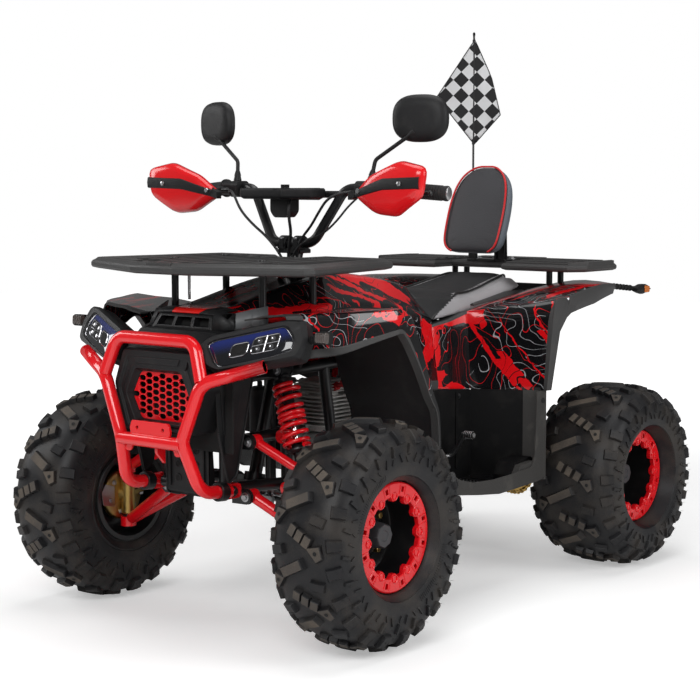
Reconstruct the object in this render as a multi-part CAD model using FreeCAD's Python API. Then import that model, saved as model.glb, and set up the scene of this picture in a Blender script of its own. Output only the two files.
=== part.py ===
import FreeCAD, Part
import math
import os

# Quad bike for a young rider: tubular steel frame, double front arms, rear swingarm with chain drive.
# Millimetres. Front is -Y, the rider's left is +X, up is +Z.
# The origin is on the ground, midway between the axles.

# Chassis and wheels
wheelbase = 1042.0
front_axle_y = -wheelbase / 2
rear_axle_y = wheelbase / 2
front_track_half = 392.0
rear_track_half = 347.0
front_tyre_radius = 241.0
rear_tyre_radius = 228.5
front_tyre_half_width = 89.0
rear_tyre_half_width = 117.5
rim_seat_radius = 100.0
rim_wall = 5.0
rim_flange = 7.0
rim_flange_wall = 6.0
front_disc_offset = -22.0
rear_disc_offset = -18.0
hub_radius = 34.0
front_ring_offset = 66.0
rear_ring_offset = 78.0
ring_outer_radius = 115.0
ring_tooth_root_radius = 85.0
ring_tooth_tip_radius = 75.0
ring_thickness = 12.0
ring_teeth = 12
wheel_sides = 18
lug_pairs = 6
lug_height = 11.0
spindle_radius = 12.0
axle_radius = 15.0

# Gaps: a running pin, a seated piece, a panel cut round a tube, a loose rod end
pin_gap = 0.3
seat_gap = 0.3
panel_gap = 2.0
loose_eye_gap = 1.5

# Steering
kingpin_inset = 67.0
kingpin_x = front_track_half - kingpin_inset
kingpin_post_radius = 16.0
kingpin_stud_radius = 8.0
kingpin_low = 196.0
kingpin_high = 288.0
steering_arm_length = 52.0
stud_offset = 15.0
column_radius = 15.0
column_low = FreeCAD.Vector(0, -455, 262)
column_top = FreeCAD.Vector(0, -294.8, 806)
tie_rod_radius = 7.0
tie_eye_radius = 12.0
tie_eye_height = 16.0
stud_radius = 5.0
tie_stud_z = 262.0

# Frame
tube_sides = 6
bar_sides = 8
eye_sides = 8
frame_tube_radius = 13.0
lower_rail_x = 84.0
lower_rail_wide_x = 105.0
lower_rail_z = 226.0
upper_rail_x = 82.0
seat_rail_x = 95.0
lug_wall = 6.0

# Suspension
arm_tube_radius = 12.5
arm_bush_radius = 15.0
lower_pivot = FreeCAD.Vector(118, front_axle_y, 297)
upper_pivot = FreeCAD.Vector(116, front_axle_y, 413)
lower_pivot_half = 74.0
upper_pivot_half = 62.0
shock_top = FreeCAD.Vector(137, front_axle_y + 21, 562)
shock_low = FreeCAD.Vector(206, front_axle_y, 362)
shock_eye_radius = 12.0
shock_eye_half = 13.0
spring_radius = 31.0
spring_wire = 5.2
damper_body_radius = 12.5
damper_rod_radius = 6.5
rear_shock_top = FreeCAD.Vector(0, 236, 540)
rear_shock_low = FreeCAD.Vector(0, 386, 322)
swing_pivot = FreeCAD.Vector(0, 150, 290)
swing_pivot_half = 88.0

# Drive
sprocket_x = 66.0
sprocket_teeth = 30
sprocket_half = 3.0
chain_pitch = 17.4
output_teeth = 12
output_shaft = FreeCAD.Vector(66, 40, 318)
brake_disc_x = -70.0
brake_disc_radius = 80.0

# Bumper and racks
bumper_radius = 14.0
rack_bottom = 772.0
rack_top = 797.0
rear_rack_bottom = 740.0
rear_rack_top = 765.0
rest_seat_z = 757.0
rack_post_radius = 8.0

# Handlebar
bar_radius = 11.0
grip_radius = 17.0
mirror_half = 66.0
mirror_half_high = 52.0
mirror_yaw = 14.0
bar_y = -283.0
bar_low_z = 826.0
bar_low_y = -308.0
cross_bar_z = 936.0
grip_end = FreeCAD.Vector(380, -240, 939)
switch_low = FreeCAD.Vector(176, -306, 930)
switch_high = FreeCAD.Vector(226, -262, 966)

# Bodywork
panel_wall = 5.0
foot_floor_z = 246.0

X = FreeCAD.Vector(1, 0, 0)
Y = FreeCAD.Vector(0, 1, 0)
Z = FreeCAD.Vector(0, 0, 1)
ORIGIN = FreeCAD.Vector(0, 0, 0)

front_centre = FreeCAD.Vector(front_track_half, front_axle_y, front_tyre_radius)
rear_centre = FreeCAD.Vector(rear_track_half, rear_axle_y, rear_tyre_radius)
axle_line = FreeCAD.Vector(0, rear_axle_y, rear_tyre_radius)
column_way = (column_top - column_low).normalize()
pitman_way = FreeCAD.Vector(0, column_way.z, -column_way.y)
tie_stud = FreeCAD.Vector(kingpin_x + stud_offset, front_axle_y + steering_arm_length, tie_stud_z)


def vec(x, y, z):
    return FreeCAD.Vector(x, y, z)


def mirrored(shape):
    """The same piece on the other side of the bike."""
    return shape.mirror(ORIGIN, X)


def both_sides(shape):
    return shape.fuse(mirrored(shape))


def welded(shapes):
    """One solid, or several that do not touch, from pieces that are welded or moulded together."""
    if len(shapes) == 1:
        return shapes[0]
    return shapes[0].multiFuse(shapes[1:]).removeSplitter()


def shaft(start, end, radius):
    """A true round bar, for what turns or is turned on."""
    run = end - start
    return Part.makeCylinder(radius, run.Length, start, run)


def folded(corners):
    """One flat face through the corners, or a fan of triangles where they don't lie in one plane."""
    normal = (corners[1] - corners[0]).cross(corners[2] - corners[0])
    if normal.Length > 1e-6:
        normal = normal.normalize()
        if max(abs((corner - corners[0]).dot(normal)) for corner in corners) < 1e-5:
            return [Part.Face(Part.makePolygon(corners + corners[:1]))]
    fan = []
    for second, third in zip(corners[1:], corners[2:]):
        fan.append(Part.Face(Part.makePolygon([corners[0], second, third, corners[0]])))
    return fan


def skin(rings):
    """A closed solid through rings of equally many points; a side that isn't flat is folded once."""
    faces = folded(rings[0]) + folded(rings[-1])
    count = len(rings[0])
    for here, there in zip(rings, rings[1:]):
        for i in range(count):
            k = (i + 1) % count
            faces += folded([here[i], here[k], there[k], there[i]])
    solid = Part.Solid(Part.makeShell(faces))
    if solid.Volume < 0:
        solid.reverse()
    return solid


def section(centre, way, across, radius, sides):
    """A regular outline round a centre, square to the way that a tube runs."""
    side = way.cross(across).normalize()
    other = way.cross(side).normalize()
    ring = []
    for i in range(sides):
        angle = 2 * math.pi * (i + 0.5) / sides
        ring.append(centre + side * (radius * math.cos(angle)) + other * (radius * math.sin(angle)))
    return ring


def bar(start, end, radius, sides=tube_sides):
    """A straight tube with narrow flats."""
    way = (end - start).normalize()
    across = Z if abs(way.z) < 0.9 else X
    return skin([section(start, way, across, radius, sides), section(end, way, across, radius, sides)])


def bent_tube(points, radius, bend_radius, sides=tube_sides, step_degrees=36.0):
    """A tube bent at each inner point, in steps of a few degrees; its points lie nearly in one plane."""
    ways = [(b - a).normalize() for a, b in zip(points, points[1:])]
    across = None
    for a, b in zip(ways, ways[1:]):
        if a.cross(b).Length > 1e-6:
            across = a.cross(b).normalize()
            break
    rings = [section(points[0], ways[0], across, radius, sides)]
    for i in range(1, len(points) - 1):
        before = ways[i - 1]
        after = ways[i]
        turn = before.getAngle(after)
        cut = bend_radius * math.tan(turn / 2)
        cut = min(cut, 0.48 * (points[i] - points[i - 1]).Length, 0.48 * (points[i + 1] - points[i]).Length)
        true_radius = cut / math.tan(turn / 2)
        axis = before.cross(after).normalize()
        inward = axis.cross(before).normalize()
        start = points[i] - before * cut
        centre = start + inward * true_radius
        steps = max(1, round(math.degrees(turn) / step_degrees))
        for j in range(steps + 1):
            spin = FreeCAD.Rotation(axis, math.degrees(turn) * j / steps)
            at = centre + spin.multVec(start - centre)
            rings.append(section(at, spin.multVec(before), across, radius, sides))
    rings.append(section(points[-1], ways[-1], across, radius, sides))
    return skin(rings)


def outline(points, axis, level):
    """A flat face from 2-D points, at a level along X, Y or Z."""
    corners = []
    for u, v in points:
        corners.append({"x": vec(level, u, v), "y": vec(u, level, v), "z": vec(u, v, level)}[axis])
    return Part.Face(Part.makePolygon(corners + corners[:1]))


def plate(points, axis, low, high):
    """A flat outline given its thickness from low to high along an axis."""
    run = {"x": X, "y": Y, "z": Z}[axis] * (high - low)
    return outline(points, axis, low).extrude(run)


def box(low, high):
    size = high - low
    return Part.makeBox(size.x, size.y, size.z, low)


def turned(profile, sides, centre):
    """A wheel part from its (across, radius) profile, turned about X in flats."""
    rings = []
    for step in range(sides):
        angle = 2 * math.pi * step / sides
        rings.append([centre + vec(u, -r * math.sin(angle), r * math.cos(angle)) for u, r in profile])
    faces = []
    for step in range(sides):
        here = rings[step]
        there = rings[(step + 1) % sides]
        for j in range(len(profile)):
            k = (j + 1) % len(profile)
            corners = [here[j], here[k], there[k], there[j]]
            faces.append(Part.Face(Part.makePolygon(corners + corners[:1])))
    solid = Part.Solid(Part.makeShell(faces))
    if solid.Volume < 0:
        solid.reverse()
    return solid


def facet_bore(radius, sides=wheel_sides):
    """The corner radius of a flat-sided bore that just clears a round shaft."""
    return (radius + 0.02) / math.cos(math.pi / sides)


def round_plate(radius, sides, low, high, centre, bore):
    """A disc about X with a bore for a round bar."""
    disc = plate([(radius * math.cos(2 * math.pi * i / sides), radius * math.sin(2 * math.pi * i / sides))
                  for i in range(sides)], "x", low, high)
    disc = disc.cut(bar(vec(low - 1, 0, 0), vec(high + 1, 0, 0), facet_bore(bore), wheel_sides))
    disc.translate(centre)
    return disc


def export(shape, node):
    shape.exportStep("parts/" + node + ".step")


os.makedirs("parts", exist_ok=True)


# Wheels: tyre, steel rim and bolted ring, each side

def lug(across, length, width, yaw, tilt, at_x, top, depth):
    """One rubber block at the top of the tyre, turned by yaw about the radius and tilted to the shoulder."""
    block = plate([(-length / 2, -width / 2), (length / 2, -width / 2 * across), (length / 2, width / 2 * across),
                   (-length / 2, width / 2)], "z", -depth, 0)
    block.rotate(ORIGIN, Z, yaw)
    block.rotate(ORIGIN, Y, tilt)
    block.translate(vec(at_x, 0, top))
    return block


def tyre(centre, radius, half_width, ring_offset):
    """A low-pressure off-road tyre with its lugs, seated on the rim between its flange and the ring."""
    bead_low = -half_width + 16
    bead_high = ring_offset - ring_thickness
    crown = radius - lug_height
    bulge_radius = (crown + rim_seat_radius) / 2
    flange_top = rim_seat_radius + rim_flange + 2
    profile = [(bead_low, rim_seat_radius), (bead_low, flange_top), (-half_width, bulge_radius - 8),
               (-half_width + 7, crown - 30), (-half_width + 36, crown), (half_width - 36, crown),
               (half_width - 7, crown - 30), (half_width, bulge_radius - 8), (bead_high, ring_outer_radius + 1),
               (bead_high, rim_seat_radius)]
    pieces = [turned(profile, wheel_sides, ORIGIN)]
    for i in range(lug_pairs * 2):
        side = 1 if i % 2 else -1
        turn = 180.0 * i / lug_pairs
        centre_lug = lug(0.8, 0.72 * half_width, 25, 25 * side, 4 * side, side * 0.2 * half_width, radius, 18)
        shoulder_lug = lug(0.75, 44, 34, -8 * side, 38, half_width - 25, radius - 8, 20)
        pieces.append(centre_lug.rotate(ORIGIN, X, turn))
        pieces.append(shoulder_lug.rotate(ORIGIN, X, turn + 90.0 / lug_pairs))
        pieces.append(shoulder_lug.mirror(ORIGIN, X).rotate(ORIGIN, X, turn))
    body = welded(pieces)
    body.translate(centre)
    return body


def rim(centre, half_width, ring_offset, disc_offset, hub_low, hub_high, bore):
    """A pressed steel rim: barrel, inner flange, deep dished centre and hub with its bore."""
    seat = rim_seat_radius
    inner = seat - rim_wall
    bead_low = -half_width + 16
    bead_high = ring_offset - ring_thickness
    profile = [(bead_low - rim_flange_wall, inner), (bead_low - rim_flange_wall, seat + rim_flange),
               (bead_low, seat), (bead_high, seat), (bead_high, inner), (disc_offset + 6, inner),
               (hub_high, hub_radius), (hub_high, bore), (hub_low, bore), (disc_offset - 2, inner)]
    return turned(profile, wheel_sides, centre)


def bead_ring(centre, ring_offset):
    """The bolted outer ring, with twelve teeth that point inward."""
    outer = plate([(ring_outer_radius * math.sin(2 * math.pi * i / wheel_sides),
                    ring_outer_radius * math.cos(2 * math.pi * i / wheel_sides)) for i in range(wheel_sides)],
                  "x", ring_offset - ring_thickness, ring_offset)
    inner = []
    pitch = 2 * math.pi / ring_teeth
    for i in range(ring_teeth):
        for share, r in ((-0.30, ring_tooth_root_radius), (-0.14, ring_tooth_tip_radius),
                         (0.14, ring_tooth_tip_radius), (0.30, ring_tooth_root_radius)):
            angle = pitch * (i + share)
            inner.append((r * math.sin(angle), r * math.cos(angle)))
    ring = outer.cut(plate(inner, "x", ring_offset - ring_thickness, ring_offset))
    ring.translate(centre)
    return ring


front_tyre = tyre(front_centre, front_tyre_radius, front_tyre_half_width, front_ring_offset)
front_rim = rim(front_centre, front_tyre_half_width, front_ring_offset, front_disc_offset, -26, -4,
                facet_bore(spindle_radius + pin_gap))
front_ring = bead_ring(front_centre, front_ring_offset)
rear_tyre = tyre(rear_centre, rear_tyre_radius, rear_tyre_half_width, rear_ring_offset)
rear_rim = rim(rear_centre, rear_tyre_half_width, rear_ring_offset, rear_disc_offset, -40, 4,
               facet_bore(axle_radius))
rear_ring = bead_ring(rear_centre, rear_ring_offset)


# Rear axle with its sprocket and brake disc

axle_half = rear_track_half + 30
axle = shaft(axle_line - X * axle_half, axle_line + X * axle_half, axle_radius)
sprocket_radius = chain_pitch / (2 * math.sin(math.pi / sprocket_teeth))
output_radius = chain_pitch / (2 * math.sin(math.pi / output_teeth))


def sprocket():
    """The chain wheel on the axle, with six lightening holes."""
    points = []
    for i in range(sprocket_teeth):
        for share, r in ((-0.12, sprocket_radius + 4), (0.38, sprocket_radius - 4)):
            angle = 2 * math.pi * (i + share) / sprocket_teeth
            points.append((r * math.cos(angle), r * math.sin(angle)))
    wheel = plate(points, "x", -sprocket_half, sprocket_half)
    wheel = wheel.cut(bar(vec(-4, 0, 0), vec(4, 0, 0), facet_bore(axle_radius), wheel_sides))
    for i in range(5):
        angle = 2 * math.pi * i / 5
        at = vec(0, 52 * math.cos(angle), 52 * math.sin(angle))
        wheel = wheel.cut(bar(at - X * 4, at + X * 4, 16, 6))
    hub = round_plate(26, 12, -12, -sprocket_half, ORIGIN, axle_radius)
    wheel = wheel.fuse(hub)
    wheel.translate(axle_line + X * sprocket_x)
    return wheel


rear_sprocket = sprocket()
brake_disc = round_plate(brake_disc_radius, wheel_sides, -2, 2, axle_line + X * brake_disc_x, axle_radius)


def chain():
    """Two link strands with a slot between them, in which the sprocket's teeth run."""
    half = 8.0
    slot_half = sprocket_half + seat_gap
    height = 5.5
    rear = axle_line
    front = vec(0, output_shaft.y, output_shaft.z)
    run = front - rear
    spread = math.acos((sprocket_radius - output_radius) / run.Length)
    heading = math.atan2(run.z, run.y)
    band = None
    for grow in (height, -height):
        points = []
        for centre, r, first, turn, steps in (
                (rear, sprocket_radius + grow, heading + spread, 2 * math.pi - 2 * spread, 16),
                (front, output_radius + grow, heading - spread, 2 * spread, 6)):
            for i in range(steps + 1):
                angle = first + turn * i / steps
                points.append((centre.y + r * math.cos(angle), centre.z + r * math.sin(angle)))
        solid = plate(points, "x", sprocket_x - half, sprocket_x + half)
        band = solid if band is None else band.cut(solid)
    far = 2000
    return band.cut(box(vec(sprocket_x - slot_half, -far, -far), vec(sprocket_x + slot_half, far, far)))


chain_band = chain()
output_gear = plate([(output_radius * math.cos(2 * math.pi * i / output_teeth) + output_shaft.y,
                      output_radius * math.sin(2 * math.pi * i / output_teeth) + output_shaft.z)
                     for i in range(output_teeth)],
                    "x", sprocket_x - sprocket_half, sprocket_x + sprocket_half)


# Knuckles: a kingpin post with a stud at each end, the wheel spindle and a steering arm that points back

def knuckle():
    foot = vec(kingpin_x, front_axle_y, 0)
    post = bar(foot + Z * kingpin_low, foot + Z * kingpin_high, kingpin_post_radius, 8)
    studs = shaft(foot + Z * (kingpin_low - 26), foot + Z * (kingpin_high + 26), kingpin_stud_radius)
    hub_line = foot + Z * front_tyre_radius
    boss = bar(hub_line, hub_line + X * (front_track_half - 32 - kingpin_x), 22, 8)
    spindle = shaft(hub_line, hub_line + X * (front_track_half + 22 - kingpin_x), spindle_radius)
    arm_top = tie_stud.z - tie_eye_height / 2 - 3
    arm = plate([(tie_stud.x - 11, tie_stud.y + 10), (tie_stud.x + 11, tie_stud.y + 10),
                 (kingpin_x + 14, front_axle_y), (kingpin_x - 14, front_axle_y)], "z", arm_top - 10, arm_top)
    stud = bar(vec(tie_stud.x, tie_stud.y, arm_top - 1), tie_stud + Z * (tie_eye_height / 2 + 8), stud_radius)
    return welded([post, studs, boss, spindle, arm, stud])


knuckle_left = knuckle()


# Steering column, pitman arm and tie rods

def along_column(z):
    return column_low + column_way * ((z - column_low.z) / column_way.z)


tie_pivot = column_low + pitman_way * steering_arm_length + X * stud_offset + column_way * 22


def column():
    """The steering shaft, with the pitman arm at its foot and the bar clamp at its head."""
    stem = shaft(column_low, column_top, column_radius)
    half = stud_offset + 10
    arm = plate([(-22, -20), (22, -20), (half, steering_arm_length - 4), (half - 6, steering_arm_length + 10),
                 (-half + 6, steering_arm_length + 10), (-half, steering_arm_length - 4)], "z", 0, 10)
    arm.rotate(ORIGIN, X, -math.degrees(math.asin(column_way.y)))
    arm.translate(column_low)
    pieces = [stem, arm]
    for side in (-1, 1):
        foot = column_low + pitman_way * steering_arm_length + X * (side * stud_offset)
        pieces.append(shaft(foot, foot + column_way * 34, stud_radius))
    pieces.append(box(vec(-34, bar_low_y - 14, 803), vec(34, bar_low_y + 22, bar_low_z - bar_radius - 0.5)))
    return welded(pieces)


steering_column = column()


def tie_rod():
    """A link from the pitman arm to the steering arm; its outer eye sits loosely on the arm's stud."""
    half = tie_eye_height / 2
    inner_eye = bar(tie_pivot - column_way * half, tie_pivot + column_way * half, tie_eye_radius, eye_sides)
    outer_eye = bar(tie_stud - Z * half, tie_stud + Z * half, tie_eye_radius + 2, eye_sides)
    link = welded([inner_eye, outer_eye, bar(tie_pivot, tie_stud, tie_rod_radius)])
    link = link.cut(bar(tie_pivot - column_way * 30, tie_pivot + column_way * 30, facet_bore(stud_radius + pin_gap, eye_sides), eye_sides))
    return link.cut(bar(tie_stud - Z * 30, tie_stud + Z * 30, facet_bore(stud_radius + loose_eye_gap, eye_sides), eye_sides))


tie_rod_left = tie_rod()


# Handlebar, grips, hand guards, controls and mirrors

bar_points = [vec(0, bar_low_y, bar_low_z), vec(60, bar_low_y, bar_low_z), vec(136, bar_y - 4, 948),
              vec(200, bar_y + 8, 952), grip_end]


def handlebar():
    """A high-rise bar with a cross brace."""
    half = bent_tube(bar_points, bar_radius, 40, bar_sides)
    brace = bar(vec(-126, bar_y - 8, cross_bar_z), vec(126, bar_y - 8, cross_bar_z), 8)
    return welded([half, mirrored(half), brace])


steering_bar = handlebar()
steering_column = steering_column.fuse(box(vec(-34, bar_low_y - 17, bar_low_z - 12), vec(34, bar_low_y + 17, bar_low_z + 14)))
steering_column = steering_column.cut(steering_bar).removeSplitter()

grip_way = (grip_end - bar_points[3]).normalize()
grip = bar(bar_points[3] + grip_way * 42, grip_end + grip_way * 6, grip_radius).cut(steering_bar)


def hand_guard():
    """A bowed wedge in front of the grip: a black band between two red shells."""
    edge = [(205, 935), (255, 975), (338, 1006), (409, 992), (400, 935), (329, 893), (268, 898)]
    front = [vec(x, -352 - 0.11 * (x - 205), z) for x, z in edge]
    back = [point + vec(0, 20, 0) for point in front]
    whole = skin([front, back])
    middle = plate([(195, 925), (300, 946), (420, 950), (420, 976), (300, 972), (195, 940)], "y", -420, -300)
    return whole.cut(middle), whole.common(middle)


guard_shell, guard_band = hand_guard()


def controls():
    """Switch housings with their levers, and the dash block on the cross brace."""
    housing = box(switch_low, switch_high)
    lever = bent_tube([vec(204, -300, 946), vec(236, -326, 944), vec(372, -292, 940)], 5, 14, 6)
    dash = plate([(-62, -420), (62, -420), (92, -352), (92, -300), (-92, -300), (-92, -352)], "z",
                 cross_bar_z - 10, cross_bar_z + 14)
    post = box(vec(-20, bar_y - 22, cross_bar_z - 6), vec(20, bar_y - 8, cross_bar_z + 6))
    return welded([housing, lever, mirrored(housing), mirrored(lever), dash, post]).cut(steering_bar)


control_set = controls()
guard_band = guard_band.fuse(bar(vec(222, -345, 944), vec(222, switch_low.y + 4, 948), 6, 8)).cut(control_set)
guard_band = guard_band.cut(steering_bar)
guard_shell = guard_shell.cut(guard_band)


def mirror():
    """A rear-view mirror: an oval shell on a bent stem."""
    stem = bent_tube([vec(200, -276, switch_high.z - 1), vec(206, -268, 1012), vec(296, -240, 1076)], 4.5, 14, 8)
    head = [mirror_ring(level, grow, mirror_half, mirror_half_high)
            for level, grow in ((-12, 0.74), (-4, 0.97), (12, 1.0))]
    return welded([stem, skin(head)]).cut(control_set)


def mirror_ring(level, grow, half, half_high):
    """An oval about the middle of the left head, turned inward with the glass to the rider."""
    turn = math.radians(mirror_yaw)
    points = []
    for i in range(12):
        across = half * grow * math.cos(2 * math.pi * i / 12)
        points.append(vec(304 + across * math.cos(turn) - level * math.sin(turn),
                          -238 + across * math.sin(turn) + level * math.cos(turn),
                          1102 + half_high * grow * math.sin(2 * math.pi * i / 12)))
    return points


mirror_left = mirror()
glass_left = skin([mirror_ring(level, 1.0, mirror_half - 8, mirror_half_high - 7) for level in (12, 14)])


# Frame: lower rails, upper rails, uprights, lugs and brackets

def frame():
    r = frame_tube_radius
    lower = bent_tube([vec(lower_rail_x, -640, 316), vec(lower_rail_x, -410, 300),
                       vec(lower_rail_wide_x, -310, lower_rail_z), vec(lower_rail_wide_x, 300, lower_rail_z),
                       vec(seat_rail_x, 372, 600)], r, 60)
    upper = bent_tube([vec(upper_rail_x, -640, 546), vec(upper_rail_x, -330, 552), vec(seat_rail_x, -60, 566),
                       vec(seat_rail_x, 300, 612), vec(seat_rail_x, 636, 640)], r, 80)
    half = [lower, upper,
            bar(vec(lower_rail_x, -626, 315), vec(upper_rail_x, -626, 546), r),
            bar(vec(lower_rail_x, -428, 301), vec(upper_rail_x, -428, 550), r),
            bar(vec(lower_rail_wide_x, -270, lower_rail_z), vec(upper_rail_x, -300, 553), r),
            bar(vec(upper_rail_x, -626, upper_pivot.z), vec(upper_rail_x, -428, upper_pivot.z), r)]
    for pivot, reach in ((lower_pivot, lower_pivot_half), (upper_pivot, upper_pivot_half)):
        for side in (-1, 1):
            near = pivot.y + side * (reach + seat_gap)
            ends = sorted((near, near + side * lug_wall))
            half.append(box(vec(upper_rail_x, ends[0], pivot.z - 17), vec(pivot.x + 16, ends[1], pivot.z + 17)))
    for side in (-1, 1):
        near = shock_top.y + side * (shock_eye_half + seat_gap)
        ends = sorted((near, near + side * lug_wall))
        half.append(box(vec(upper_rail_x, ends[0], 545), vec(shock_top.x + 14, ends[1], shock_top.z + 14)))
    half.append(box(vec(swing_pivot_half + seat_gap, 130, lower_rail_z), vec(lower_rail_wide_x, 172, 312)))
    for y, z, top in ((150, 600, 652), (330, 622, 682)):
        half.append(box(vec(seat_rail_x - 9, y - 16, z - 12), vec(seat_rail_x + 9, y + 16, top)))
    pieces = half + [mirrored(piece) for piece in half]
    for y, z, x in ((-640, 316, lower_rail_x), (-640, 546, upper_rail_x), (300, lower_rail_z, lower_rail_wide_x),
                    (-258, lower_rail_z, lower_rail_wide_x), (60, lower_rail_z, lower_rail_wide_x),
                    (636, 640, seat_rail_x), (236, 605, seat_rail_x)):
        pieces.append(bar(vec(-x, y, z), vec(x, y, z), r))
    for side in (-1, 1):
        near = side * (shock_eye_half + seat_gap)
        ends = sorted((near, near + side * lug_wall))
        pieces.append(box(vec(ends[0], 222, rear_shock_top.z - 14), vec(ends[1], 250, 606)))
    pieces.append(box(vec(-lower_rail_x, -474, 296), vec(lower_rail_x, -424, 304)))
    pieces.append(box(vec(-upper_rail_x, -392, 544), vec(upper_rail_x, -348, 552)))
    body = welded(pieces)
    return body.cut(bar(column_low - column_way * 50, column_top, facet_bore(column_radius + pin_gap), wheel_sides))


frame_body = frame()


# Front wishbones, an upper and a lower one each side

def wishbone(pivot, reach, ball, tube, boss_low, boss_high):
    legs = []
    for side in (-1, 1):
        legs.append(bar(pivot + Y * (side * (reach - 16)), ball, tube))
    bush = bar(pivot - Y * reach, pivot + Y * reach, arm_bush_radius)
    boss = bar(vec(ball.x, ball.y, boss_low), vec(ball.x, ball.y, boss_high), 18)
    arm = welded(legs + [bush, boss])
    keep = box(vec(0, -900, boss_low - 40), vec(ball.x + 40, 0, boss_high + 200))
    hole = bar(vec(ball.x, ball.y, boss_low - 60), vec(ball.x, ball.y, boss_high + 60),
               facet_bore(kingpin_stud_radius + pin_gap, eye_sides), eye_sides)
    return arm.common(keep).cut(hole)


lower_ball = vec(kingpin_x, front_axle_y, kingpin_low - 17)
upper_ball = vec(kingpin_x, front_axle_y, kingpin_high + 17)
lower_arm = wishbone(lower_pivot, lower_pivot_half, lower_ball, arm_tube_radius, kingpin_low - 28, kingpin_low - 6)
upper_arm = wishbone(upper_pivot, upper_pivot_half, upper_ball, arm_tube_radius - 2, kingpin_high + 6, kingpin_high + 28)
post_room = box(vec(kingpin_x - 45, front_axle_y - 60, kingpin_low - 5), vec(kingpin_x + 60, front_axle_y + 60, kingpin_high + 5))
lower_arm = lower_arm.cut(post_room)
upper_arm = upper_arm.cut(post_room)
shock_pin = bar(vec(shock_low.x, shock_low.y - 34, shock_low.z), vec(shock_low.x, shock_low.y + 34, shock_low.z), 6)
upper_arm = upper_arm.fuse(shock_pin)


def shock(top, low, eye_way, spring_high, spring_low, radius, wire, turns):
    """A coil-over damper: body, rod, cups and eyes, and the spring as short straight runs of wire."""
    way = (low - top).normalize()
    side = way.cross(Y + X * 0.3).normalize()
    other = way.cross(side).normalize()
    length = (low - top).Length
    pieces = [bar(top, top + way * (length * 0.5), damper_body_radius),
              bar(top + way * (length * 0.49), low, damper_rod_radius),
              bar(top - eye_way * shock_eye_half, top + eye_way * shock_eye_half, shock_eye_radius),
              bar(low - eye_way * shock_eye_half, low + eye_way * shock_eye_half, shock_eye_radius),
              bar(top + way * (spring_high - 6), top + way * spring_high, radius + 2),
              bar(top + way * (length - spring_low), top + way * (length - spring_low + 6), radius + 2)]
    around = 6
    steps = turns * around
    start = spring_high + wire
    reach = length - spring_low - spring_high - 2 * wire
    rings = []
    for i in range(steps + 1):
        angle = 2 * math.pi * i / around
        out = side * math.cos(angle) + other * math.sin(angle)
        middle = top + way * (start + reach * i / steps) + out * (radius - wire)
        rings.append([middle + out * wire, middle + way * wire, middle - out * wire, middle - way * wire])
    return welded(pieces), skin(rings)


damper_front, spring_front = shock(shock_top, shock_low, Y, 30, 38, spring_radius, spring_wire, 6)
damper_front = damper_front.cut(shock_pin)
damper_rear, spring_rear = shock(rear_shock_top, rear_shock_low, X, 32, 34, 30.0, 5.5, 5)
upper_arm = upper_arm.cut(damper_front)


def swingarm():
    """The rear fork on its pivot tube, with the axle carrier and the lugs for the shock."""
    pivot = bar(swing_pivot - X * swing_pivot_half, swing_pivot + X * swing_pivot_half, 17)
    pieces = [pivot]
    for x in (-38, 38):
        pieces.append(bar(vec(x, swing_pivot.y, swing_pivot.z), vec(x, rear_axle_y - 20, rear_tyre_radius + 8), 16))
    pieces.append(bar(axle_line - X * 50, axle_line + X * 50, 36, 12))
    pieces.append(bar(vec(-38, rear_shock_low.y, 256), vec(38, rear_shock_low.y, 256), 12))
    for side in (-1, 1):
        ends = sorted((side * (shock_eye_half + seat_gap), side * (shock_eye_half + seat_gap + lug_wall)))
        pieces.append(box(vec(ends[0], 370, 250), vec(ends[1], 402, rear_shock_low.z + 14)))
    return welded(pieces).cut(bar(axle_line - X * 60, axle_line + X * 60, facet_bore(axle_radius + pin_gap), wheel_sides))


swing = swingarm()


# Engine: crankcase with round covers, a finned upright barrel and its head

def engine():
    case = plate([(-250, 252), (-60, 246), (66, 262), (88, 330), (30, 392), (-120, 398), (-262, 380), (-278, 300)],
                 "x", -78, 44)
    pieces = [case, bar(vec(-104, -60, 318), vec(-70, -60, 318), 66, 16), bar(vec(40, -150, 320), vec(76, -150, 320), 58, 16),
              box(vec(-40, -248, 390), vec(40, -168, 478)), box(vec(-46, -254, 478), vec(46, -162, 508)),
              bar(vec(40, output_shaft.y, output_shaft.z), vec(sprocket_x - 3, output_shaft.y, output_shaft.z), 12)]
    fins = 8
    for i in range(fins):
        z = 404 + 9.2 * i
        pieces.append(box(vec(-58, -266, z), vec(58, -150, z + 3.5)))
    for y in (-258, 60):
        pieces.append(box(vec(-30, y - 10, lower_rail_z + 6), vec(30, y + 10, 268)))
    return welded(pieces).cut(frame_body)


engine_body = engine()


def carburettor():
    throat = bar(vec(18, -150, 450), vec(18, -96, 450), 20)
    bowl = bar(vec(18, -122, 416), vec(18, -122, 452), 18)
    air_box = box(vec(-50, -96, 420), vec(50, 30, 520))
    return welded([throat, bowl, air_box]).cut(engine_body)


carb = carburettor()


def exhaust():
    """A header from the barrel down the right side, and a silencer inboard of the rear wheel."""
    header = bent_tube([vec(-50, -206, 448), vec(-140, -206, 448), vec(-144, -130, 372), vec(-144, 120, 372),
                        vec(-162, 400, 440)], 14, 34)
    silencer = bar(vec(-162, 396, 439), vec(-162, 640, 470), 42, 12)
    return welded([header, silencer]).cut(engine_body)


exhaust_body = exhaust()


# Front bumper, skid plate and grille

def bumper_tubes(radius):
    """The left half of the hoop, and the left upright with its wing, as tubes of the given radius."""
    hoop = bent_tube([vec(0, -747, 638), vec(114, -747, 638), vec(142, -757, 561)], radius, 36, bar_sides)
    upright = bent_tube([vec(264, -700, 594), vec(141, -757, 555), vec(90, -762, 430), vec(110, -728, 322),
                         vec(110, -640, 314)], radius, 44, bar_sides)
    return [hoop, upright]


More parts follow.
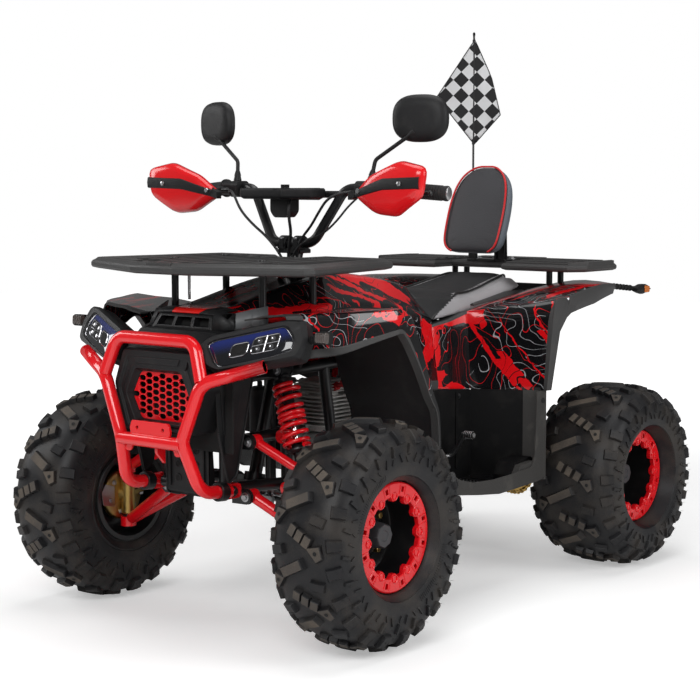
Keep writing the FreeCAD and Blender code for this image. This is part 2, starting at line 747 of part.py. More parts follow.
def bumper():
    """Red tube hoop over the mouth, uprights that end in wings, a cross tube, a two-hole plate and frame lugs."""
    r = bumper_radius
    lug = box(vec(lower_rail_x + frame_tube_radius + seat_gap, -656, 300), vec(116, -616, 328))
    half = bumper_tubes(r) + [lug]
    cross = bar(vec(-96, -763, 425), vec(96, -763, 425), r)
    tab = box(vec(-54, -766, 430), vec(54, -760, 466))
    for x in (-38, 38):
        tab = tab.cut(Part.makeCylinder(4.2, 10, vec(x, -768, 451), Y))
    return welded(half + [mirrored(piece) for piece in half] + [cross, tab]).cut(frame_body)


bumper_body = bumper()
skid = plate([(-659, 300), (-659, 424), (-650, 424), (-650, 304), (-560, 288), (-560, 279), (-648, 294)],
             "x", -64, 64).cut(frame_body)

mouth_edge = [(-87, 516), (-61, 566), (61, 566), (87, 516), (60, 465), (-60, 465)]


def grille():
    """Hexagonal mesh that closes the mouth."""
    mesh = plate(mouth_edge, "y", -728, -723)
    pitch = 26.0
    cell = 11.5
    holes = []
    for row in range(-2, 3):
        for step in range(-4, 5):
            x = pitch * (step + 0.5 * (row % 2))
            z = 514 + pitch * 0.866 * row
            half_width = 87 - abs(z - 516) * 0.53
            if abs(x) + cell + 2 > half_width:
                continue
            holes.append(plate([(x + cell * math.cos(math.radians(30 + 60 * i)),
                                 z + cell * math.sin(math.radians(30 + 60 * i))) for i in range(6)], "y", -729, -722))
    return mesh.cut(holes[0].multiFuse(holes[1:]))


grille_mesh = grille()


# Bodywork

def shroud_ring(y, top, top_half, shoulder, shoulder_half, foot, foot_half, inset):
    """The left half of the cover's section at one station."""
    a = top_half - inset * 0.6
    b = shoulder_half - inset
    c = foot_half - inset
    low = foot - (1 if inset else 0)
    return [vec(0, y, low), vec(0, y, top - inset), vec(a, y, top - inset), vec(b, y, shoulder - inset * 0.6),
            vec(c, y, low)]


shroud_stations = [(-640, 690, 88, 648, 146, 604, 154), (-560, 704, 86, 656, 152, 604, 160),
                   (-380, 742, 84, 690, 152, 600, 166), (-240, 756, 78, 692, 150, 560, 170),
                   (-70, 736, 74, 668, 150, 486, 168), (24, 716, 70, 640, 144, 472, 166)]


def rack_posts(lines, radius):
    """Posts that lean out from the frame and then stand upright, both sides."""
    posts = [welded([bar(line[0], line[1], radius, 8), bar(line[1] - Z * 2, line[2], radius, 8)]) for line in lines]
    return posts + [mirrored(post) for post in posts]


front_post_lines = [(vec(upper_rail_x, y, 550), vec(130, y, 640), vec(130, y, rack_bottom + 2))
                    for y in (-556, -392)]
rear_post_lines = [(vec(seat_rail_x, y, z), vec(150, y, 676), vec(150, y, rear_rack_bottom + 2))
                   for y, z in ((530, 631), (584, 635))]


def hood_shroud():
    """The painted cover from nose to seat, open below, with holes for the column and rack posts."""
    outer = skin([shroud_ring(*station, 0) for station in shroud_stations])
    rings = [shroud_ring(*station, panel_wall) for station in shroud_stations]
    lead = [point + vec(0, -1, 0) for point in rings[0]]
    tail = [point + vec(0, 1, 0) for point in rings[-1]]
    cover = both_sides(outer.cut(skin([lead] + rings[1:-1] + [tail]))).removeSplitter()
    hole = along_column(750)
    cover = cover.cut(bar(hole - column_way * 90, hole + column_way * 90, 34))
    for post in rack_posts(front_post_lines, rack_post_radius + panel_gap):
        cover = cover.cut(post)
    return cover


shroud = hood_shroud()


def on_lamp(x, z, out):
    """A point on the sloping face of the left lamp, moved forward by out."""
    return vec(x, -722 + 0.34 * (x - 127) + 0.45 * (z - 626) - out, z)


def lamp_body(corners, out, back):
    return skin([[on_lamp(x, z, out) for x, z in corners], [on_lamp(x, z, -back) for x, z in corners]])


lens_edge = [(128, 630), (142, 638), (278, 671), (303, 646), (304, 625), (264, 611), (168, 587), (157, 592)]
bezel_edge = [(108, 630), (128, 650), (275, 686), (316, 686), (330, 650), (328, 612), (163, 579), (132, 588)]


def nose_fairing():
    """The dark front mask: mouth surround, ledge, vent box, lamp bezels and side shields."""
    surround = [(-130, 540), (-102, 614), (102, 614), (130, 540), (98, 440), (-98, 440)]
    front = [vec(x, -744, z) for x, z in surround]
    back = [vec(x, -668, z) for x, z in surround]
    mask = skin([front, back]).cut(plate(mouth_edge, "y", -760, -723))
    ledge = plate([(-736, 608), (-693, 648), (-640, 656), (-640, 604), (-736, 604)], "x", -124, 124)
    vent = skin([[vec(-86, -668, 652), vec(86, -668, 652), vec(78, -654, 684), vec(-78, -654, 684)],
                 [vec(-96, -640, 652), vec(96, -640, 652), vec(92, -640, 694), vec(-92, -640, 694)]])
    for x in (-55, 0, 55):
        vent = vent.cut(box(vec(x - 22, -680, 659), vec(x + 22, -648, 679)))
    bezel = lamp_body(bezel_edge, 6, 30)
    shield = plate([(-700, 606), (-570, 606), (-640, 345), (-664, 330)], "x", 122, 127)
    mask = welded([mask, ledge, vent, bezel, mirrored(bezel), shield, mirrored(shield)]).cut(shroud)
    for tube in bumper_tubes(bumper_radius + panel_gap):
        mask = mask.cut(tube).cut(mirrored(tube))
    return mask


lamp = lamp_body(lens_edge, 7, 10)
nose = nose_fairing().cut(lamp).cut(mirrored(lamp))


def front_fender():
    """A shell over the front tyre: top, outer side down to its lip, and the flap behind the wheel."""
    side = [(-640, 602), (-573, 608), (-413, 655), (-324, 500), (-302, 470), (-295, 390), (-281, 390), (-288, 475),
            (-310, 518), (-372, 668), (-385, 681), (-423, 702), (-499, 698), (-640, 696)]
    hollow = [(-700, 691), (-499, 693), (-424, 697), (-389, 677), (-377, 665), (-315, 516), (-293, 474), (-286, 388),
              (-286, 300), (-700, 300)]
    plan = plate([(154, -640), (272, -640), (350, -556), (400, -440), (400, -200), (154, -200)], "z", 300, 760)
    room = plate([(100, -650), (270, -634), (346, -553), (395, -439), (395, -100), (100, -100)], "z", 200, 800)
    shell = plate(side, "x", 150, 400).common(plan)
    return shell.cut(plate(hollow, "x", 100, 420).common(room)).cut(shroud).cut(nose)


fender = front_fender()


def front_rack():
    """A moulded deck on four posts, notched for the steering column."""
    deck = plate([(77, -743), (314, -636), (322, -610), (257, -270), (62, -270), (62, -345), (-62, -345), (-62, -270),
                  (-257, -270), (-322, -610), (-314, -636), (-77, -743)], "z", rack_bottom, rack_top)
    return welded([deck] + rack_posts(front_post_lines, rack_post_radius)).cut(frame_body)


def rear_rack():
    """A moulded deck on four posts, notched for the backrest."""
    deck = plate([(300, 374), (332, 420), (332, 560), (290, 606), (-290, 606), (-332, 560), (-332, 420), (-300, 374),
                  (-104, 374), (-104, 452), (104, 452), (104, 374)], "z", rear_rack_bottom, rear_rack_top)
    deck = deck.cut(box(vec(-86, 440, rest_seat_z), vec(86, 526, rear_rack_top + 1)))
    return welded([deck] + rack_posts(rear_post_lines, rack_post_radius)).cut(frame_body)


rack_front = front_rack()
rack_rear = rear_rack()


def seat():
    """The saddle: a crowned cushion from the tank to the rear rack."""
    stations = [(24.3, 716, 64, 628, 132), (90, 702, 94, 638, 142), (190, 695, 110, 652, 146),
                (300, 706, 114, 668, 146), (370, 724, 112, 690, 142), (440, 734, 96, 700, 118)]
    rings = []
    for y, top, half, foot, foot_half in stations:
        rings.append([vec(-foot_half, y, foot), vec(-half, y, top - 9), vec(-half * 0.5, y, top),
                      vec(half * 0.5, y, top), vec(half, y, top - 9), vec(foot_half, y, foot)])
    return skin(rings).cut(frame_body)


saddle = seat()


def backrest():
    """The pad leans back; its outline is round at the top."""
    low = vec(0, 392, 782)
    lean = (vec(0, 468, 1003) - low).normalize()
    through = lean.cross(X).normalize()
    rings = []
    for at, half, depth in ((0, 80, 20), (12, 90, 26), (110, 96, 28), (180, 84, 26), (216, 58, 22), (230, 34, 14)):
        middle = low + lean * at
        ring = []
        for u, v in ((-1, -0.6), (-0.86, -1), (0.86, -1), (1, -0.6), (1, 0.6), (0.86, 1), (-0.86, 1), (-1, 0.6)):
            ring.append(middle + X * (half * u) + through * (depth * v))
        rings.append(ring)
    return skin(rings)


rest_pad = backrest()


def backrest_bracket():
    stems = [box(vec(x - 13, 453, rest_seat_z), vec(x + 13, 471, 930)) for x in (-44, 44)]
    foot = box(vec(-60, 453, rest_seat_z), vec(64, 520, rest_seat_z + 6))
    return welded(stems + [foot]).cut(rest_pad)


rest_bracket = backrest_bracket()


def rear_fender():
    """One moulding each side: side panel, front wall, deck over the wheel, outer strip and tail."""
    front_wall = plate([(168, 150), (334, 236), (340, 236), (340, 242), (332, 242), (168, 156)], "z", 463, 652)
    side = skin([[vec(146, 24.3, 624), vec(166, 24.3, 474), vec(161, 24.3, 474), vec(141, 24.3, 624)],
                 [vec(158, 153, 644), vec(172, 153, 463), vec(167, 153, 463), vec(153, 153, 644)]])
    rail = skin([[vec(141, 24.3, 618), vec(146, 24.3, 624), vec(152, 24.3, 612), vec(146, 24.3, 608)],
                 [vec(150, 153, 644), vec(154, 153, 652), vec(174, 153, 634), vec(168, 153, 624)]])
    deck = skin([[vec(150, 152, 652), vec(376, 200, 684), vec(376, 200, 679), vec(150, 152, 642)],
                 [vec(150, 400, 688), vec(372, 400, 712), vec(372, 400, 707), vec(150, 400, 682)],
                 [vec(126, 640, 700), vec(300, 604, 700), vec(300, 604, 695), vec(126, 640, 694)]])
    outer = skin([[vec(364, 200, 684), vec(378, 200, 684), vec(342, 228, 463), vec(330, 228, 463)],
                  [vec(366, 242, 688), vec(380, 242, 688), vec(344, 246, 463), vec(332, 246, 463)]])
    wall_top = skin([[vec(168, 150, 640), vec(334, 236, 640), vec(346, 236, 640), vec(346, 242, 640), vec(168, 156, 640)],
                     [vec(158, 152, 654), vec(334, 192, 680), vec(374, 200, 684), vec(374, 206, 684), vec(158, 158, 654)]])
    lip = skin([[vec(368, 240, 688), vec(376, 240, 688), vec(366, 240, 634), vec(360, 240, 634)],
                [vec(366, 400, 708), vec(372, 400, 708), vec(364, 400, 660), vec(358, 400, 660)],
                [vec(292, 606, 698), vec(299, 606, 698), vec(296, 606, 676), vec(290, 606, 676)]])
    body = welded([front_wall, side, rail, deck, outer, wall_top, lip])
    return body.cut(frame_body).cut(saddle)


rear_panel = rear_fender()
for post in rack_posts(rear_post_lines, rack_post_radius + panel_gap)[:2]:
    rear_panel = rear_panel.cut(post)

tail_light = box(vec(-70, 642, 654), vec(70, 668, 692)).fuse(box(vec(-30, 626, 644), vec(30, 650, 658)))
tail_light = tail_light.cut(frame_body).removeSplitter()


# Footwells and footpegs

def peg_side():
    """A toothed steel peg over the floor, on an arm from the lower rail."""
    top = foot_floor_z + 20
    peg = box(vec(186, -26, top - 9), vec(318, 26, top))
    for i in range(6):
        peg = peg.cut(box(vec(196 + 20 * i, -27, top - 4), vec(206 + 20 * i, 27, top + 1)))
    arm = box(vec(lower_rail_wide_x - 10, -14, top - 9), vec(190, 14, top - 1))
    foot = box(vec(lower_rail_wide_x - 10, -14, lower_rail_z), vec(lower_rail_wide_x + 8, 14, top - 1))
    return welded([peg, arm, foot]).cut(frame_body)


peg_left = peg_side()


def footwell():
    """The moulded floor under the rider's foot: inner wall, floor, outer skirt and rear wall."""
    inner = plate([(-196, 470), (24, 473), (152, 462.7), (152, 248), (46, 240), (-126, 262), (-214, 330)], "x", 168, 173)
    floor = plate([(-218, 336), (-128, 262), (46, 240), (190, 248), (190, 254), (46, foot_floor_z), (-126, 268),
                   (-216, 342)], "x", 170, 330)
    skirt = plate([(-216, 350), (-222, 338), (-128, 258), (46, 236), (186, 244), (240, 250), (240, 462.7), (214, 462.7),
                   (206, 300), (190, 270), (20, 262), (-116, 286)], "x", 326, 331)
    rear = plate([(168, 150), (331, 236), (331, 241), (168, 155)], "z", 244, 462.7)
    room = box(vec(100, -16, foot_floor_z + 9), vec(186, 16, foot_floor_z + 21))
    return welded([inner, floor, skirt, rear]).cut(room)


well = footwell().cut(peg_left)


def indicators():
    """Turn lamps on short stalks at the nose and the tail."""
    front = welded([bar(vec(290, -626, 640), vec(362, -626, 650), 7, 8), box(vec(346, -642, 638), vec(374, -612, 666))])
    rear = welded([bar(vec(262, 610, 697), vec(300, 744, 682), 6, 8), box(vec(286, 730, 668), vec(314, 772, 696))])
    return front.cut(nose).cut(fender), rear.cut(rear_panel)


front_lamp, rear_lamp = indicators()


# Flag on its pole

flag_foot = vec(-72, 500, rest_seat_z)
pole = bar(flag_foot, vec(-72, 500, 1354), 3, 8)
flag_turn = math.radians(39.0)
flag_way = vec(math.cos(flag_turn), math.sin(flag_turn), 0)
flag_out = vec(math.sin(flag_turn), -math.cos(flag_turn), 0)


def flag_sheet():
    """The cloth hangs across the pole from its top corner, just in front of it."""
    corners = [(2, 1338), (-97, 1185), (2, 1057), (70, 1138), (46, 1237)]
    rings = []
    for out in (3.2, 5.2):
        rings.append([vec(flag_foot.x, flag_foot.y, z) + flag_way * u + flag_out * out for u, z in corners])
    return skin(rings)


flag = flag_sheet()


nodes = {
    "front_tyre_left": front_tyre, "front_rim_left": front_rim, "front_ring_left": front_ring,
    "front_tyre_right": mirrored(front_tyre), "front_rim_right": mirrored(front_rim),
    "front_ring_right": mirrored(front_ring), "rear_tyre_left": rear_tyre, "rear_tyre_right": mirrored(rear_tyre),
    "rear_rims": both_sides(rear_rim), "rear_rings": both_sides(rear_ring), "rear_axle": axle,
    "sprocket": rear_sprocket, "brake_disc": brake_disc, "chain": chain_band.fuse(output_gear),
    "knuckle_left": knuckle_left, "knuckle_right": mirrored(knuckle_left), "steering_column": steering_column,
    "tie_rod_left": tie_rod_left, "tie_rod_right": mirrored(tie_rod_left), "handlebar": steering_bar,
    "grips": both_sides(grip), "handguards": both_sides(guard_shell), "handguard_bands": both_sides(guard_band),
    "controls": control_set, "mirrors": both_sides(mirror_left), "mirror_glass": both_sides(glass_left),
    "frame": frame_body, "suspension_arms": both_sides(lower_arm).fuse(both_sides(upper_arm)),
    "dampers": both_sides(damper_front).fuse(damper_rear), "springs": both_sides(spring_front).fuse(spring_rear),
    "swingarm": swing.cut(damper_rear), "engine": engine_body, "carburettor": carb, "exhaust": exhaust_body,
    "front_bumper": bumper_body, "skid_plate": skid, "grille_mesh": grille_mesh, "hood_shroud": shroud,
    "nose_fairing": nose, "headlights": both_sides(lamp), "front_fender_left": fender,
    "front_fender_right": mirrored(fender), "front_rack": rack_front, "rear_rack": rack_rear, "seat": saddle,
    "backrest_pad": rest_pad, "backrest_bracket": rest_bracket, "rear_fender_left": rear_panel,
    "rear_fender_right": mirrored(rear_panel), "tail_light": tail_light, "footwell_left": well,
    "footwell_right": mirrored(well), "footpegs": both_sides(peg_left),
    "indicators": both_sides(front_lamp).fuse(both_sides(rear_lamp)), "flag_pole": pole, "flag": flag,
}

for node, shape in nodes.items():
    export(shape, node)
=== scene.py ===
import bmesh
import bpy
import math
from mathutils import Matrix, Vector


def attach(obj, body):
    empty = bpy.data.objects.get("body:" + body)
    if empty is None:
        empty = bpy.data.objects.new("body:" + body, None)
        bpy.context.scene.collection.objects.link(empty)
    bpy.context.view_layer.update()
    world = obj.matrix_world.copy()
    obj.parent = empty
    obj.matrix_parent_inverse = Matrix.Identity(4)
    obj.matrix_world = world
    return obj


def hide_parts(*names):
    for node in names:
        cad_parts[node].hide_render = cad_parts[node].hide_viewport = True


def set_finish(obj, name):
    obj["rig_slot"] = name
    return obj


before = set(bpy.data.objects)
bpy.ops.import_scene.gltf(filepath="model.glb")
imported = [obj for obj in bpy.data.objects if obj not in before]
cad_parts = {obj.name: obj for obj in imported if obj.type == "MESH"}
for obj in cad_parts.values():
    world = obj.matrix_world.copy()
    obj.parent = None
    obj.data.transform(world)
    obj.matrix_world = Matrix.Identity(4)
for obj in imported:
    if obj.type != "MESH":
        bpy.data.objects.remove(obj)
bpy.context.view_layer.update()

# Welded tube frame: two lower rails, two upper rails, uprights and cross tubes of 26 mm steel tube. Powder
# coated semi-gloss black. Points are in millimetres, and are turned into metres when a piece is closed.


def add(tree, kind, inputs=(), **settings):
    """One shader node. An input is a value or another node's output."""
    made = tree.nodes.new("ShaderNode" + kind)
    for key, value in settings.items():
        setattr(made, key, value)
    for key, value in dict(inputs).items():
        socket = made.inputs[key]
        if isinstance(value, bpy.types.NodeSocket):
            tree.links.new(value, socket)
        else:
            socket.default_value = value
    return made


def maths(tree, operation, first, second=0.0, clamp=False):
    """The result of one sum on values or sockets."""
    return add(tree, "Math", {0: first, 1: second}, operation=operation, use_clamp=clamp).outputs[0]


def plus(tree, start, share, span):
    """start with share times span added to it."""
    return maths(tree, "ADD", start, maths(tree, "MULTIPLY", share, span))


def mixed(tree, share, first, second):
    """A colour between two colours."""
    return add(tree, "Mix", {0: share, 6: first, 7: second}, data_type="RGBA").outputs[2]


def shaded(tree, colour, share, dark, span):
    """A colour with its value times dark where share is 0, and times dark + span where it is 1."""
    return add(tree, "HueSaturation", {"Color": colour, "Value": plus(tree, dark, share, span)}).outputs[0]


def ramp(tree, value, low, high):
    """0 below low, 1 above high and smooth between."""
    return add(tree, "MapRange", {0: value, 1: low, 2: high}, interpolation_type="SMOOTHSTEP").outputs[0]


def noise(tree, where, scale, detail=2.0, stretch=(1, 1, 1)):
    """Cloudy values about 0.5, finer with more scale."""
    placed = add(tree, "Mapping", {"Vector": where, "Scale": stretch}).outputs[0]
    return add(tree, "TexNoise", {"Vector": placed, "Scale": scale, "Detail": detail}).outputs["Fac"]


def raised(tree, height, strength, reach):
    """The surface's normal with a small relief, reach metres high at most."""
    return add(tree, "Bump", {"Height": height, "Strength": strength, "Distance": reach}).outputs[0]


def effect(name, inputs):
    """A shader group with its named inputs; gives back the tree, the input sockets and the place."""
    tree = bpy.data.node_groups.new(name, "ShaderNodeTree")
    for label, value in inputs.items():
        kind = "NodeSocketColor" if hasattr(value, "__len__") else "NodeSocketFloat"
        tree.interface.new_socket(label, in_out="INPUT", socket_type=kind).default_value = value
    entry = tree.nodes.new("NodeGroupInput")
    return tree, entry.outputs, tree.nodes.new("ShaderNodeTexCoord").outputs["Object"]


def effect_gives(tree, outputs):
    kinds = {"Base Color": "NodeSocketColor", "Normal": "NodeSocketVector"}
    last = tree.nodes.new("NodeGroupOutput")
    for label, socket in outputs.items():
        tree.interface.new_socket(label, in_out="OUTPUT", socket_type=kinds.get(label, "NodeSocketFloat"))
    for label, socket in outputs.items():
        tree.links.new(socket, last.inputs[label])


def finish(name, group, values, **constants):
    """A material: one effect group that feeds the shader, and constants on the shader's own sockets."""
    made = bpy.data.materials.new(name)
    made.use_nodes = True
    tree = made.node_tree
    shader = tree.nodes["Principled BSDF"]
    placed = tree.nodes.new("ShaderNodeGroup")
    placed.node_tree = group
    for key, value in values.items():
        placed.inputs[key].default_value = value
    for output in placed.outputs:
        tree.links.new(output, shader.inputs[output.name])
    for key, value in constants.items():
        shader.inputs[key.replace("_", " ").title().replace("Ior", "IOR")].default_value = value
    return made


def coated(name):
    """Powder coat or paint: a faint orange peel, cloudy gloss and a trace of dust in the hollows."""
    tree, inputs, where = effect(name, {"Colour": (0.5, 0.5, 0.5, 1), "Roughness": 0.3, "Peel": 0.2,
                                        "Dust": 0.0})
    cloud = noise(tree, where, 9.0, 3.0)
    tone = shaded(tree, inputs["Colour"], cloud, 0.92, 0.16)
    settled = maths(tree, "MULTIPLY", ramp(tree, noise(tree, where, 26.0, 5.0), 0.52, 0.7), inputs["Dust"])
    colour = mixed(tree, settled, tone, (0.24, 0.22, 0.19, 1))
    rough = plus(tree, inputs["Roughness"], noise(tree, where, 60.0), 0.08)
    height = noise(tree, where, 900.0, 1.0)
    normal = raised(tree, height, inputs["Peel"], 0.0004)
    effect_gives(tree, {"Base Color": colour, "Roughness": rough, "Normal": normal})
    return tree


coat = coated("coat")


def plain(name, colour, roughness, peel=0.2, dust=0.0, **constants):
    """A material of one colour on the coat group."""
    values = {"Colour": (*colour, 1), "Roughness": roughness, "Peel": peel, "Dust": dust}
    return finish(name, coat, values, **constants)


black_steel = plain("black powder coat", (0.008, 0.008, 0.009), 0.27, dust=0.03)
red_steel = plain("red powder coat", (0.82, 0.006, 0.012), 0.2, 0.12, coat_weight=0.35, coat_roughness=0.08)


def at(x, y, z):
    """A point or a way in millimetres."""
    return Vector((x, y, z))


along_x, along_y, along_z = Vector((1, 0, 0)), Vector((0, 1, 0)), Vector((0, 0, 1))


def around(x, radius, turn):
    """A point of a circle about the x axis."""
    return at(x, radius * math.cos(turn), radius * math.sin(turn))


def turns(count, start=0.0):
    """Evenly spread angles, the first one start steps on."""
    return [2 * math.pi * (i + start) / count for i in range(count)]


def circle(centre, normal, side, radius, sides):
    """Evenly spread points round centre, in the plane of normal and side."""
    return [centre + normal * (radius * math.cos(2 * math.pi * k / sides))
            + side * (radius * math.sin(2 * math.pi * k / sides)) for k in range(sides)]


def loft(work, rings, paint=0, caps=True, loop=False):
    """A skin through rings of equally many points; loop joins the last ring to the first."""
    rows = [[work.verts.new(p) for p in ring] for ring in rings]
    count = len(rows[0])
    faces = []
    for here, there in zip(rows, rows[1:] + rows[:1] if loop else rows[1:]):
        for i in range(count):
            k = (i + 1) % count
            faces.append(work.faces.new((here[i], here[k], there[k], there[i])))
    if caps and not loop:
        faces += [work.faces.new(rows[0][::-1]), work.faces.new(rows[-1])]
    for face in faces:
        face.material_index = paint


def faced(work, points, paint=0):
    """One flat face on points of its own."""
    work.faces.new([work.verts.new(p) for p in points]).material_index = paint


def bend_line(points, radius, step=9.0):
    """The centre line of a bent bar: straight runs with an arc at each inner point."""
    line = [points[0]]
    for before, corner, after in zip(points, points[1:], points[2:]):
        back, on = before - corner, after - corner
        turn = math.pi - back.angle(on)
        if turn < 0.02:
            line.append(corner)
            continue
        cut = min(radius * math.tan(turn / 2), 0.48 * back.length, 0.48 * on.length)
        count = max(2, round(math.degrees(turn) / step))
        start = corner + back.normalized() * cut
        axis = back.cross(on).normalized()
        inward = (back.normalized() + on.normalized()).normalized()
        centre = corner + inward * (cut / math.sin(turn / 2))
        arm = start - centre
        for i in range(count + 1):
            line.append(centre + Matrix.Rotation(-turn * i / count, 3, axis) @ arm)
    line.append(points[-1])
    return line


def tube(work, points, radius, bend=0.0, sides=20, paint=0, step=9.0, caps=True):
    """A round bar or tube along a line; radius may be one number or one for each point."""
    line = bend_line(points, bend, step) if bend else list(points)
    radii = radius if hasattr(radius, "__len__") else [radius] * len(line)
    rings = []
    normal = None
    for i, here in enumerate(line):
        way = (line[min(i + 1, len(line) - 1)] - line[max(i - 1, 0)]).normalized()
        if normal is None:
            normal = way.orthogonal().normalized()
        normal = (normal - way * normal.dot(way)).normalized()
        rings.append(circle(here, normal, way.cross(normal), radii[i], sides))
    loft(work, rings, paint, caps)


# A flat outline's u and v and the level across it, in the order x, y, z.
orders = {"x": lambda u, v, level: (level, u, v),
          "y": lambda u, v, level: (u, level, v),
          "z": lambda u, v, level: (u, v, level)}


def slab(work, outline, axis, low, high, paint=0):
    """A flat outline given its thickness from low to high along x, y or z."""
    order = orders[axis]
    loft(work, [[order(u, v, level) for u, v in outline] for level in (low, high)], paint)


def block(work, low, high, paint=0):
    """A box between two opposite corners."""
    slab(work, [(low[0], low[1]), (high[0], low[1]), (high[0], high[1]), (low[0], high[1])], "z", low[2],
         high[2], paint)


def spun(work, profile, centre, way, sides=48, paint=0, closed=True):
    """A turned piece from its (along, radius) profile about a line through centre."""
    way = way.normalized()
    normal = way.orthogonal().normalized()
    side = way.cross(normal)
    rings = [circle(centre + way * along, normal, side, radius, sides) for along, radius in profile]
    loft(work, rings, paint, caps=not closed, loop=closed)


def bolt(work, place, way, radius=6.0, paint=0):
    """A hexagon head on its washer."""
    spun(work, [(-2, radius * 1.5), (1.2, radius * 1.5), (1.6, radius * 1.3)], place, way, 20, paint,
         closed=False)
    spun(work, [(1, radius), (radius * 0.8, radius), (radius * 0.95, radius * 0.82)], place, way, 6, paint,
         closed=False)


def piece(name, work, finishes, body, nodes=(), slot=None, bevel=0.0, both=False, smooth=34.0, segments=2):
    """Closes a mesh and sets it on its body; nodes are the solids that it stands for."""
    bmesh.ops.remove_doubles(work, verts=work.verts, dist=0.005)
    bmesh.ops.recalc_face_normals(work, faces=work.faces)
    bmesh.ops.scale(work, vec=(0.001, 0.001, 0.001), verts=work.verts)
    mesh = bpy.data.meshes.new(name)
    work.to_mesh(mesh)
    work.free()
    for material in finishes:
        mesh.materials.append(material)
    made = bpy.data.objects.new(name, mesh)
    bpy.context.scene.collection.objects.link(made)
    mesh.shade_smooth()
    if both:
        mirror = made.modifiers.new("other side", "MIRROR")
        mirror.use_mirror_merge = False
    if bevel:
        edge = made.modifiers.new("edge", "BEVEL")
        edge.width = bevel / 1000
        edge.segments = segments
        edge.limit_method = "ANGLE"
        edge.angle_limit = math.radians(smooth)
        edge.harden_normals = True
    else:
        mesh.set_sharp_from_angle(angle=math.radians(smooth))
    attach(made, body)
    if nodes:
        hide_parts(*nodes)
    if slot:
        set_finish(made, slot)
    return made


def other_side(made, name, body, nodes=()):
    """The same piece on the rider's right."""
    mesh = made.data.copy()
    mesh.name = name
    mesh.transform(Matrix.Scale(-1, 4, (1, 0, 0)))
    mesh.flip_normals()
    twin = bpy.data.objects.new(name, mesh)
    bpy.context.scene.collection.objects.link(twin)
    for modifier in made.modifiers:
        same = twin.modifiers.new(modifier.name, modifier.type)
        for key in ("width", "segments", "limit_method", "angle_limit", "harden_normals", "levels",
                    "render_levels"):
            if hasattr(modifier, key):
                setattr(same, key, getattr(modifier, key))
    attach(twin, body)
    if nodes:
        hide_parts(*nodes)
    if "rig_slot" in made:
        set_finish(twin, made["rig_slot"])
    return twin


front_axle, rear_axle = -521.0, 521.0
rail = 13.0
column_low, column_top = at(0, -455, 262), at(0, -294.8, 806)
column_way = (column_top - column_low).normalized()
lower_pivot, upper_pivot = at(118, front_axle, 297), at(116, front_axle, 413)
shock_top, shock_low = at(137, front_axle + 21, 562), at(206, front_axle, 362)

work = bmesh.new()
tube(work, [at(84, -640, 316), at(84, -410, 300), at(105, -310, 226), at(105, 300, 226), at(95, 372, 600)],
     rail, 60)
tube(work, [at(82, -640, 546), at(82, -330, 552), at(95, -60, 566), at(95, 300, 612), at(95, 636, 640)],
     rail, 80)
tube(work, [at(84, -626, 315), at(82, -626, 546)], rail)
tube(work, [at(84, -428, 301), at(82, -428, 550)], rail)
tube(work, [at(105, -270, 226), at(82, -300, 553)], rail)
tube(work, [at(82, -626, 413), at(82, -428, 413)], rail)
for pivot, reach in ((lower_pivot, 74), (upper_pivot, 62)):
    for side in (-1, 1):
        ends = sorted((pivot.y + side * (reach + 0.5), pivot.y + side * (reach + 6.5)))
        tab = [(80, pivot.z - 17), (pivot.x + 4, pivot.z - 16), (pivot.x + 15, pivot.z - 8),
               (pivot.x + 15, pivot.z + 8), (pivot.x + 4, pivot.z + 16), (80, pivot.z + 17)]
        slab(work, tab, "y", *ends)
        bolt(work, at(pivot.x, ends[1] if side > 0 else ends[0], pivot.z), at(0, side, 0), 7, 1)
for side in (-1, 1):
    ends = sorted((shock_top.y + side * 13.5, shock_top.y + side * 19.5))
    slab(work, [(78, 545), (shock_top.x + 6, 548), (shock_top.x + 13, 556), (shock_top.x + 13, 570),
                (shock_top.x + 4, 576), (78, 560)], "y", *ends)
    bolt(work, at(shock_top.x, ends[1] if side > 0 else ends[0], 562), at(0, side, 0), 7, 1)
block(work, (88.5, 130, 226), (105, 172, 312))
for y, z in ((150, 600), (330, 622)):
    block(work, (86, y - 16, z - 12), (104, y + 16, 664))
zinc_grey = plain("grey zinc", (0.42, 0.42, 0.43), 0.3, 0.5, 0.2, metallic=1.0)
piece("frame_sides", work, [black_steel, zinc_grey], "chassis", ["frame"], "black_steel", both=True)

work = bmesh.new()
for y, z, x in ((-640, 316, 84), (-640, 546, 82), (300, 226, 105), (-258, 226, 105), (60, 226, 105),
                (636, 640, 95), (236, 605, 95)):
    tube(work, [at(-x, y, z), at(x, y, z)], rail)
for side in (-1, 1):
    ends = sorted((side * 13.5, side * 19.5))
    block(work, (ends[0], 222, 526), (ends[1], 250, 606))
block(work, (-84, -474, 296), (84, -424, 304))
block(work, (-82, -392, 544), (82, -348, 552))
spun(work, [(-16, 15.6), (-16, 24), (16, 24), (16, 15.6)], column_low + column_way * 40, column_way, 32)
foot = column_low + column_way * ((548 - column_low.z) / column_way.z)
spun(work, [(-18, 15.6), (-18, 24), (18, 24), (18, 15.6)], foot, column_way, 32)
piece("frame_cross_tubes", work, [black_steel], "chassis", slot="black_steel")


# Front suspension: an upper and a lower wishbone of red tube each side, on rubber bushes between the
# frame's tabs, and a coil-over damper from the upper wishbone to the frame. The rear fork has one damper in
# the centre.


